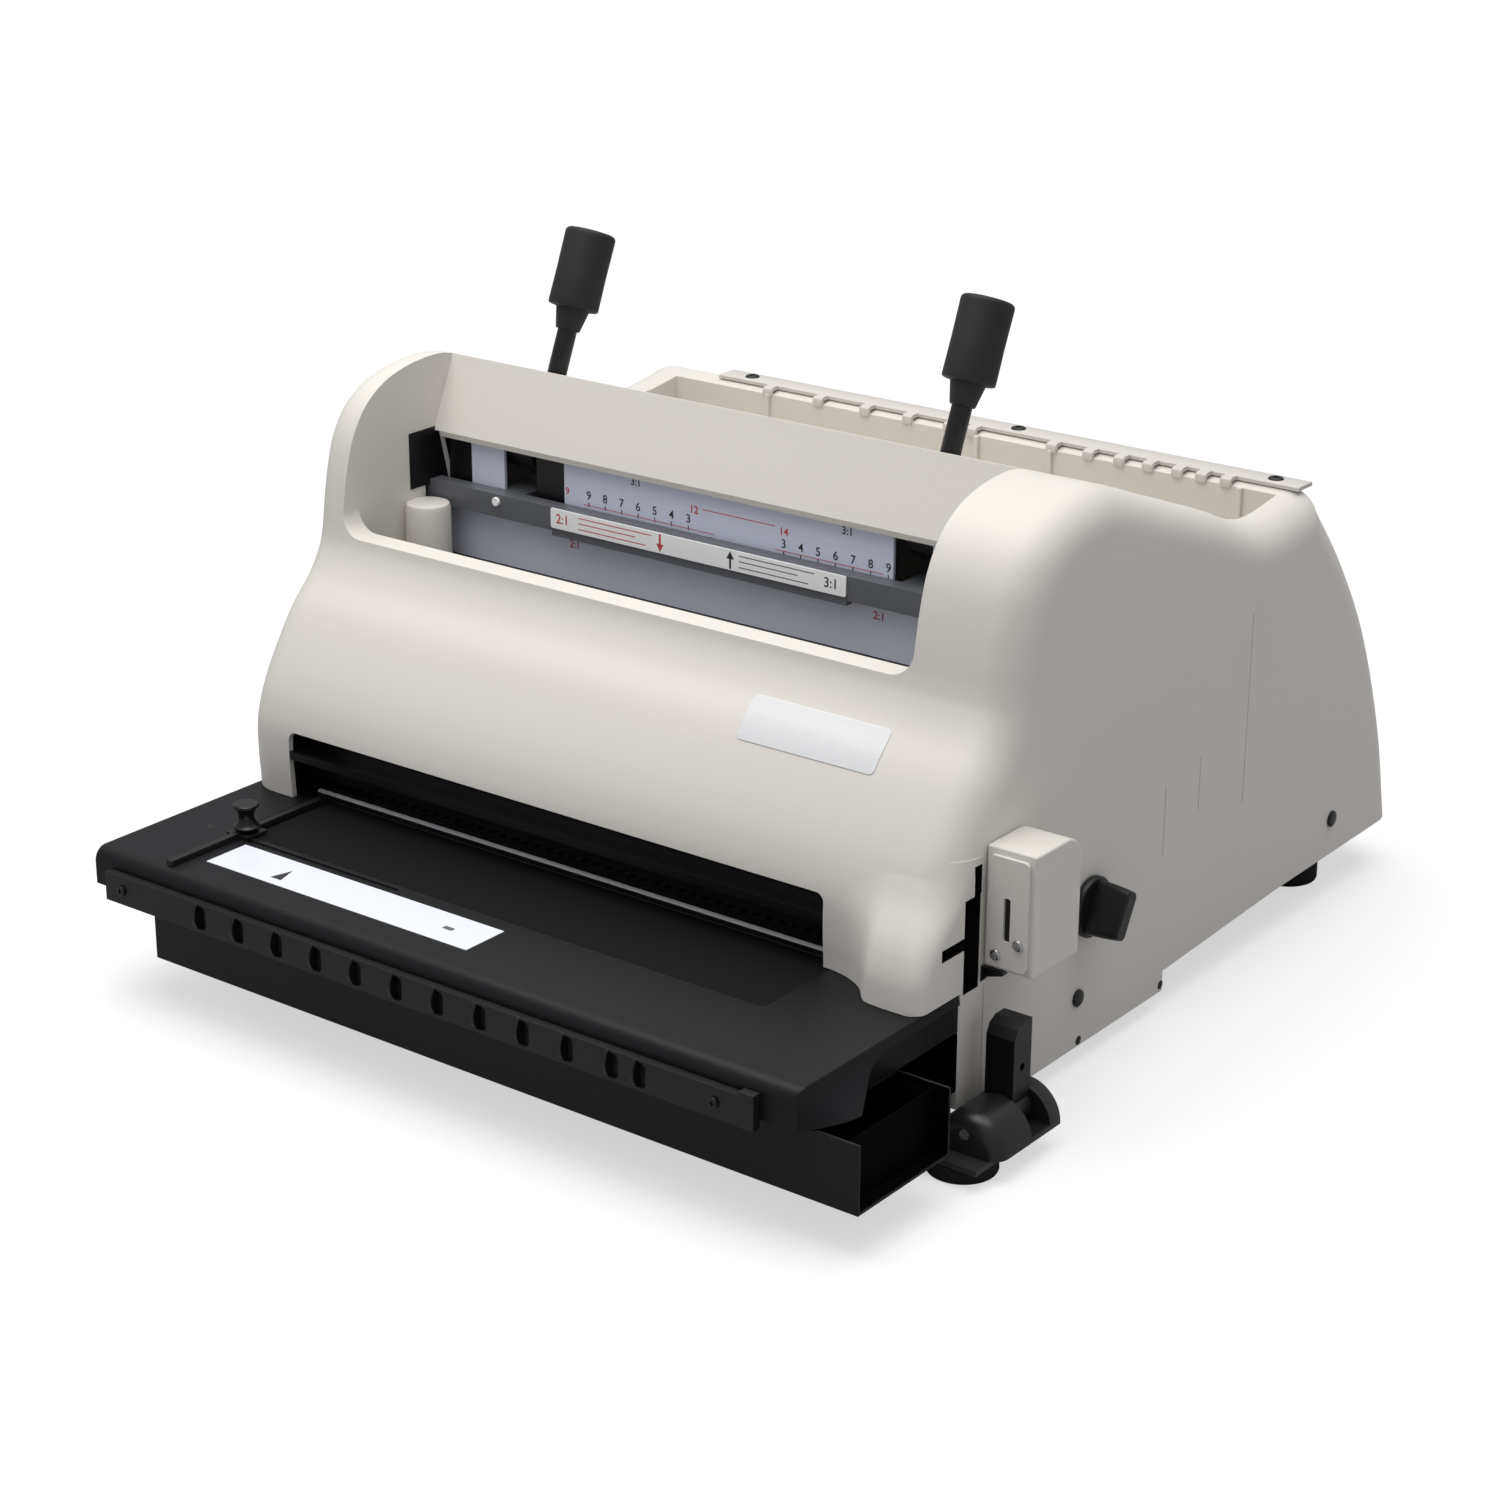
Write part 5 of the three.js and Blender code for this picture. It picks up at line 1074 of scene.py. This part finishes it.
@dataclass
class ClosingBay:
    """The bar that closes the wire, the plates behind it and their prints."""

    shop: Workshop
    plate_front: float = 147.0
    label_front: float = 134.93
    windows: tuple = ((-200, -176), (-150.4, -104.5), (127.6, 153))
    # Black sheets of painted shade on the left wall of the bay and behind the plate's windows.
    shades: tuple = ((-199.95, -199.6, 119, 149.4, 156, 190), (-199.5, -174, 149.4, 149.8, 143, 188),
                     (-127.5, -102, 149.4, 149.8, 143, 188))

    def build(self) -> None:
        """Make the bar, the label, the plates, black sheets of painted shade in the bay, and the prints."""
        shop = self.shop
        shop.dress(BAR_GREY, 0.8, "closing_bar")
        plate = shop.carve(box(-195.5, 195.5, self.plate_front, 149.2, 142.5, 189),
                           *[box(x0, x1, 140, 160, 145, 200) for x0, x1 in self.windows])
        shop.piece("printed_plate", plate, PLATE, round_mm=0.2, segments=2, stands_for="scale_plate")
        # A sloped black strip of painted shade at the bay's left end.
        slope = [(149.2, 150), (149.6, 150), (140.6, 188), (140.2, 188)]
        shades = [box(*sides) for sides in self.shades]
        shop.piece("bay_shades", [*shades, prism(slope, X, -199.9, -195.6)], SATIN_BLACK)
        # The lower plate gets a paler copy of the steel as painted light.
        shop.dress(PLATE_PAINTED_LIGHT, 0.4, "wire_backplate")
        card = prism(round_rect(-105, 105, 147, 159, 1.2, 5), Y, 134.95, 135.7)
        shop.piece("bar_label_card", card, LABEL, "closing_bar", round_mm=0.15, stands_for="bar_label")
        self.label_prints()
        self.scale("left", -86, -13, 166.5, "9876543")
        self.scale("right", 54, 124.5, 164.5, "3456789")
        face = self.plate_front - 0.05
        for name, text, size, x, z, ink in (
                ("ratio_left", "3:1", 6.5, -51, 181, INK), ("ratio_right", "3:1", 6.5, 97, 180, INK),
                ("ratio_low_left", "2:1", 6.5, -97, 135, RED_INK),
                ("ratio_low_right", "2:1", 6.5, 119, 136, RED_INK),
                ("pitch_red_left", "9", 6, -102, 166.5, RED_INK),
                ("pitch_red_middle", "12", 6.5, -9, 172.5, RED_INK),
                ("pitch_red_right", "14", 6.5, 54, 171.5, RED_INK)):
            shop.lettering(name, text, size, (x, face, z), ink)
        lines = [box(x0, x1, face + PRINT[0], face + PRINT[1], z0, z1) for x0, x1, z0, z1 in (
            (-3, 48, 173.6, 174.1), (-90, 5, 160.6, 161.0), (48, 121, 160.3, 160.7))]
        shop.piece("scale_lines", lines, RED_INK)
        pin = [(2.4, 134.6), (2.7, 135), (2.7, 136.4)]
        shop.piece("bar_pin", spun(pin, Y, (-147.4, 154.5), 28), LABEL, "closing_bar")

    def scale(self, side: str, first: float, last: float, up: float, digits: str) -> None:
        """Print a row of numbers with ticks below them.

        Args:
            side: end of the plate, for the names.
            first: x of the first number.
            last: x of the last number.
            up: z of their middles.
            digits: the numbers.
        """
        face = self.plate_front
        places = np.linspace(first, last, len(digits))
        for x, digit in zip(places, digits):
            self.shop.lettering(f"scale_{digit}_{side}", digit, 7.0, (x, face - 0.05, up), INK)
        ticks = [box(x - 0.35, x + 0.35, face - 0.07, face + 0.03, up - 6.4, up - 3.8) for x in places]
        self.shop.piece(f"scale_ticks_{side}", ticks, INK)

    def label_prints(self) -> None:
        """Print the two hole pitches, the two arrows and plain lines between them on the label."""
        shop, face = self.shop, self.label_front
        for side, text, x, ink in (("left", "2:1", -96, RED_INK), ("right", "3:1", 95, INK)):
            shop.lettering(f"pitch_{side}", text, 8.0, (x, face, 153), ink, "closing_bar")
        for way, x, foot, neck, tip, ink in (("down", -24, 158.4, 152.5, 147.8, RED_INK),
                                             ("up", 26, 147.8, 153.5, 158.2, INK)):
            flat = [(x - 0.7, foot), (x + 0.7, foot), (x + 0.7, neck), (x + 2.6, neck), (x, tip),
                    (x - 2.6, neck), (x - 0.7, neck)]
            shop.piece(f"arrow_{way}", prism(flat, Y, face + PRINT[0], face + PRINT[1]), ink, "closing_bar")
        for name, first, last, ink in (("red", -84, -30, RED_INK), ("grey", 32, 84, BAR_GREY)):
            lines = [box(first, first + (last - first) * share, face - 0.04, face + 0.07, z - 0.28, z + 0.28)
                     for z, share in ((156.4, 1.0), (153.2, 0.78), (149.8, 0.92))]
            shop.piece(f"pitch_lines_{name}", lines, ink, "closing_bar")


@dataclass
class Levers:
    """The two levers that close the wire: hub, rod and rubber grip."""

    shop: Workshop
    lean: float = 23.0  # degrees that they lean back at rest
    pivot: tuple = (166.0, 185.0)  # y and z of their shaft

    def build(self) -> None:
        """Make both levers.

        The grip is a lathe: a cone from the rod to a flat shoulder, a straight body and a flat top with a
        rounded edge, r = 12.4 + 2.6 cos a and z = z0 + 2.6 sin a.
        """
        py, pz = self.pivot
        rod = [(5.5, 9), (5.75, 9.3), (5.75, 84)]
        grip = [(6.0, 67.9), (6.9, 67.9), (7.3, 68.6), (9.9, 80.4), (13.6, 80.9), (14.7, 81.4), (15.0, 82.4),
                (14.8, 103), (15.0, 123.1)]
        grip += [(12.4 + 2.6 * math.cos(a), 124.2 + 2.6 * math.sin(a)) for a in quarter(8)] + [(0.6, 126.8)]
        for side, x in (("left", -139.0), ("right", 139.0)):
            for part, profile, sides, finish, smooth in (("grip", grip, 56, GRIP_RUBBER, 50),
                                                         ("rod", rod, 40, SATIN_BLACK, 40)):
                shape = spun([(r, pz + h) for r, h in profile], Z, (x, py), sides)
                self.shop.piece(f"{part}_{side}", shape.leaned(self.lean, self.pivot), finish,
                                "closing_levers", stands_for=f"lever_{part}_{side}", smooth_deg=smooth)
            self.shop.dress(BLACK, 0.8, f"lever_block_{side}")


@dataclass
class SizeGauge:
    """The toothed rail on the ridge and the ribs on the wall below it."""

    shop: Workshop
    low: float = -165
    high: float = 251
    teeth: tuple = (0.099, 0.193, 0.279, 0.356, 0.429, 0.469, 0.606, 0.667, 0.718, 0.765, 0.812, 0.85, 0.889)
    sheet: tuple = ((371, 178.3), (387, 178.3), (387, 180.4), (386.4, 180.8), (371.6, 180.8), (371, 180.3))
    tooth: tuple = ((363.4, 175.0), (365.6, 175.0), (366.2, 178.3), (372, 178.3), (372, 180.7), (366.2, 180.7),
                    (364.0, 179.6), (363.4, 178.0))
    ribs: tuple = (-121, 37, 89, 217)

    def build(self) -> None:
        """Make the rail with its bent teeth and stand the ribs in the trough."""
        shop = self.shop
        places = [self.low + (self.high - self.low) * share for share in self.teeth]
        rail = shop.carve(prism(self.sheet, X, self.low, self.high),
                          joined=[prism(self.tooth, X, x - 0.8, x + 6) for x in places])
        shop.piece("gauge_rail", rail, RAIL, round_mm=0.6, stands_for="size_gauge")
        ribs = [box(x - 1.6, x + 1.6, 362.6, 365.4, 141, 176.5) for x in self.ribs]
        shop.piece("trough_ribs", ribs, CREAM, round_mm=0.8)


@dataclass
class SidePieces:
    """The end cover, the margin knob, the lock and the mains inlet."""

    shop: Workshop
    knob_at: tuple = (138, 7)  # y and z of the margin knob's axis
    lock_at: tuple = (284.5, -62)  # x and z of the lock lever's axis
    lock_nose: float = 9  # length of the housing's rounded front
    bar_rise: float = 20.0  # how far the knob's finger bar stands out

    def build(self) -> None:
        """Make what stands on the right side and the back."""
        shop = self.shop
        outer = [(37, 9), (80, 9)] + [(66 + 14 * math.cos(a), 61.6 + 14 * math.sin(a)) for a in quarter(12)]
        outer += [(37, 75.6)]
        cover = shop.carve(prism(outer, X, 263.9, 293.5), prism(grown(outer, -2.5), X, 255, 291.0))
        shop.piece("end_cover", cover, CREAM, round_mm=1.6, segments=4, stands_for="tool_end_cover",
                   smooth_deg=35)
        self.front_plate()
        self.knob()
        self.lock()
        shop.dress(SATIN_BLACK, 0.5, "power_inlet")
        mark = [(2.6, 263.4), (2.6, 263.72), (2.2, 263.78), (0.2, 263.78)]
        marks = [spun(mark, X, centre, 24) for centre in ((134, -70.8), (220, -69.8))]
        shop.piece("side_marks", marks, SATIN_BLACK)
        # A black wedge of painted shade in the gap below the front of the end cover.
        foot = [(263.9, 0.5), (267.5, 4.5), (277, 7.2), (277, 9.6), (263.9, 9.6)]
        shop.piece("port_gap_shade", prism(foot, Y, 34.6, 39.5), SATIN_BLACK, round_mm=0.3)

    def front_plate(self) -> None:
        """Make the flat front of the end cover, with a black sheet of painted shade behind its long slit."""
        plate = self.shop.carve(
            prism(round_rect(266.9, 290.5, 12, 72, 3.0, 8), Y, 34.5, 36.9),
            prism(round_rect(276.4, 280.4, 26.5, 50.5, 1.2, 5), Y, 30, 40),
            *[spun([(1.8, 30), (1.8, 40)], Y, centre, 20) for centre in PLATE_SCREWS])
        self.shop.piece("end_cover_front", plate, CREAM, round_mm=0.5, stands_for="end_cover_plate")
        # Black sheet of painted shade behind the slit.
        self.shop.piece("slit_shade", box(275.4, 281.4, 36.2, 36.85, 25.5, 51.5), SATIN_BLACK)

    def knob(self) -> None:
        """Make the round knob with a finger bar that leans to the back.

        Row s of the bar, from 0 at the disc to 1 at its end, is a rounded rectangle of half width
        6.2 - 1.4 s^1.5 and half length 15 - 1.6 s^2, turned by 28 degrees.
        """
        (y0, z0), lean = self.knob_at, math.radians(28)
        disc = [(16.2, 263.9), (17, 264.6), (17, 267.6), (16.2, 268.6), (6, 269), (0.5, 269)]
        rows = []
        for s in np.linspace(0, 1, 14):
            half_w, half_l = 6.2 - 1.4 * s ** 1.5, 15.0 - 1.6 * s ** 2
            u, v = np.array(round_rect(-half_w, half_w, -half_l, half_l, 3.2, 6)).T
            y = y0 + u * math.cos(lean) + v * math.sin(lean)
            z = z0 - u * math.sin(lean) + v * math.cos(lean)
            rows.append(np.stack([np.full_like(u, 267.8 + self.bar_rise * s), y, z], axis=1))
        self.shop.piece("margin_dial", spun(disc, X, self.knob_at, 64), SATIN_BLACK, "margin_knob",
                        round_mm=0.3, stands_for="margin_knob")
        self.shop.piece("margin_dial_wing", skin(rows), SATIN_BLACK, "margin_knob", round_mm=1.2)

    def lock(self) -> None:
        """Make the dark housing under the side and its lever.

        The housing is half an ellipse, x = 285.5 + k 20.5 cos t and z = -72.4 + k 21.4 sin t, where k
        falls along a quarter circle over the last 9 mm at the front.
        """
        shop, nose = self.shop, self.lock_nose
        shop.dress(SATIN_BLACK, 1.0, "tool_lock_lever")
        hub = spun([(9.6, 23.2), (10.4, 24), (10.4, 38), (9.6, 38.8)], Y, self.lock_at, 40)
        bored = shop.carve(hub, spun([(3.6, 10), (3.6, 60)], Y, self.lock_at, 24))
        shop.piece("lock_hub", bored, HOUSING, "tool_lock_lever")
        arc = np.radians(np.linspace(0, 180, 37))
        rows = []
        for y in [*(-8 + nose * (1 - np.cos(np.linspace(0, 1, 9) * math.pi / 2))), 20, 48.8, 50]:
            k = 0.62 + 0.38 * math.sqrt(max(1 - (max(1.0 - y, 0) / nose) ** 2, 0)) if y < 49 else 0.97
            rows.append(np.stack([285.5 + k * 20.5 * np.cos(arc), np.full_like(arc, y),
                                  -72.4 + k * 21.4 * np.sin(arc)], axis=1))
        shell = shop.carve(skin(rows).flipped(), box(274.2, 330, 22.4, 39.6, -69.4, 0),
                           spun([(3.4, -20), (3.4, 60)], Y, self.lock_at, 24))
        shop.piece("lock_shell", shell, HOUSING, round_mm=0.5, stands_for="lock_housing")


@dataclass
class Feet:
    """The four rubber feet, with name, x, y and top of each."""

    shop: Workshop
    places: tuple = (("rear_left", -195, 432, -53.9), ("rear_right", 228, 432, -53.9),
                     ("front_left", -195, -2, -76.1), ("front_right", 280, -2, -76.1))

    def build(self) -> None:
        """Make each foot as a lathe with a drafted side and a sunk middle."""
        for name, x, y, top in self.places:
            rings = [(0.5, -84.2), (9, -84.2), (10, -84.99), (17.2, -84.99), (18.4, -84.4), (19.0, -83.0),
                     (18.7, top - 1.4), (17.6, top - 0.1), (0.5, top)]
            self.shop.piece(f"rubber_foot_{name}", spun(rings, Z, (x, y), 56), FOOT_RUBBER, round_mm=0.3,
                            stands_for=f"foot_{name}")


@dataclass
class Studio:
    """Camera, floor and light of the photograph.

    Attributes:
        datum: place of the drawing frame.
        target: drawing point that the camera turns about.
        distance: from there to the camera.
        azimuth, elevation, roll: its angles in degrees.
        focal_px: its focal length in pixels of the photograph.
    """

    datum: Datum
    target: tuple = (-129.648, 358.837, -65.250)
    distance: float = 2125.226
    azimuth: float = 37.2253
    elevation: float = 21.0280
    roll: float = 0.2512
    focal_px: float = 3231.795

    def camera(self) -> None:
        """Place the fitted camera."""
        az, el, roll = (math.radians(v) for v in (self.azimuth, self.elevation, self.roll))
        back = np.array([math.sin(az) * math.cos(el), -math.cos(az) * math.cos(el), math.sin(el)])
        right = np.cross(-back, (0, 0, 1))
        right /= np.linalg.norm(right)
        up = np.cross(right, -back)
        lens = bpy.data.cameras.new("photo_camera")
        lens.sensor_fit = "HORIZONTAL"
        lens.sensor_width = SENSOR_MM
        lens.lens = self.focal_px / IMAGE_PX * SENSOR_MM
        lens.clip_end = 60.0
        pose = np.eye(4)
        pose[:3, 0] = math.cos(roll) * right + math.sin(roll) * up
        pose[:3, 1] = -math.sin(roll) * right + math.cos(roll) * up
        pose[:3, 2] = back
        pose[:3, 3] = self.datum.metres(np.array(self.target) + back * self.distance)
        obj = placed("photo_camera", lens)
        obj.matrix_world = Matrix(pose.tolist())
        bpy.context.scene.camera = obj

    @staticmethod
    def by_ray(tree: Tree, around: tuple, seen: tuple) -> Socket:
        """Return an output with one colour for the rays of the camera and another for all others."""
        return mixed(tree, add(tree, "LightPath", {})["Is Camera Ray"], (*around, 1), (*seen, 1))

    def floor(self) -> None:
        """Lay the pale floor that looks white to the camera and bounces less light."""
        side = 9.0
        mesh = bpy.data.meshes.new("studio_floor")
        mesh.from_pydata([(-side, -side, 0), (side, -side, 0), (side, side, 0), (-side, side, 0)], [],
                         [(0, 1, 2, 3)])
        material = bpy.data.materials.new("studio_floor")
        material.use_nodes = True
        tree = material.node_tree
        wire(tree, tree.nodes["Principled BSDF"], {
            "Base Color": self.by_ray(tree, (0.36, 0.36, 0.37), (0.40, 0.40, 0.40)),
            "Emission Color": self.by_ray(tree, (0, 0, 0), (0.60, 0.60, 0.60)),
            "Emission Strength": 1.0, "Roughness": 0.9, "Specular IOR Level": 0.0})
        mesh.materials.append(material)
        placed("studio_floor", mesh)

    @staticmethod
    def lamp(name: str, kind: str, energy: float, back: tuple, place: tuple = (0, 0, 0)) -> bpy.types.Light:
        """Hang one lamp.

        Args:
            name: its name.
            kind: its Blender type.
            energy: its strength.
            back: direction from what it shines on to the lamp.
            place: where it hangs, in metres.

        Returns:
            The data of the lamp.
        """
        data = bpy.data.lights.new(name, kind)
        data.energy = energy
        data.color = WARM_WHITE
        obj = placed(name, data)
        obj.location = place
        obj.rotation_euler = Vector(back).to_track_quat("Z", "Y").to_euler()
        return data

    def light(self) -> None:
        """Hang the soft key light, the small panel in front and the even fill."""
        self.lamp("sky_panel", "SUN", 1.9, (-0.06, 0.12, 0.99)).angle = math.radians(60)
        place, aim = self.datum.metres(np.array([(-120, -170, 930), (0, 60, 100)]))
        panel = self.lamp("front_panel", "AREA", 3.9, place - aim, place)
        panel.shape = "RECTANGLE"
        panel.size, panel.size_y = 0.9, 0.6
        world = bpy.context.scene.world = bpy.data.worlds.new("studio")
        world.use_nodes = True
        tree = world.node_tree
        sky = self.by_ray(tree, (0.43, 0.435, 0.455), (1.0, 1.0, 1.0))
        wire(tree, tree.nodes["Background"], {"Color": sky})

    def build(self) -> None:
        """Set the whole studio up."""
        bpy.context.scene.view_settings.view_transform = "Standard"
        self.camera()
        self.floor()
        self.light()


def main() -> None:
    """Build every sub-assembly, then the studio."""
    logging.basicConfig(level=logging.INFO, format="%(name)s: %(message)s")
    shop = Workshop(Datum.from_cad(), Paints())
    for kind in (CaseCover, Screws, WorkTable, WireHolder, ChipTray, PunchTool, ClosingBay, Levers, SizeGauge,
                 SidePieces, Feet):
        before = len(shop.made)
        kind(shop).build()
        for obj in shop.made[before:]:
            LOG.info("%s: %s, %d faces", kind.__name__, obj.name, len(obj.data.polygons))
    Studio(shop.datum).build()


if __name__ == "__main__":
    main()
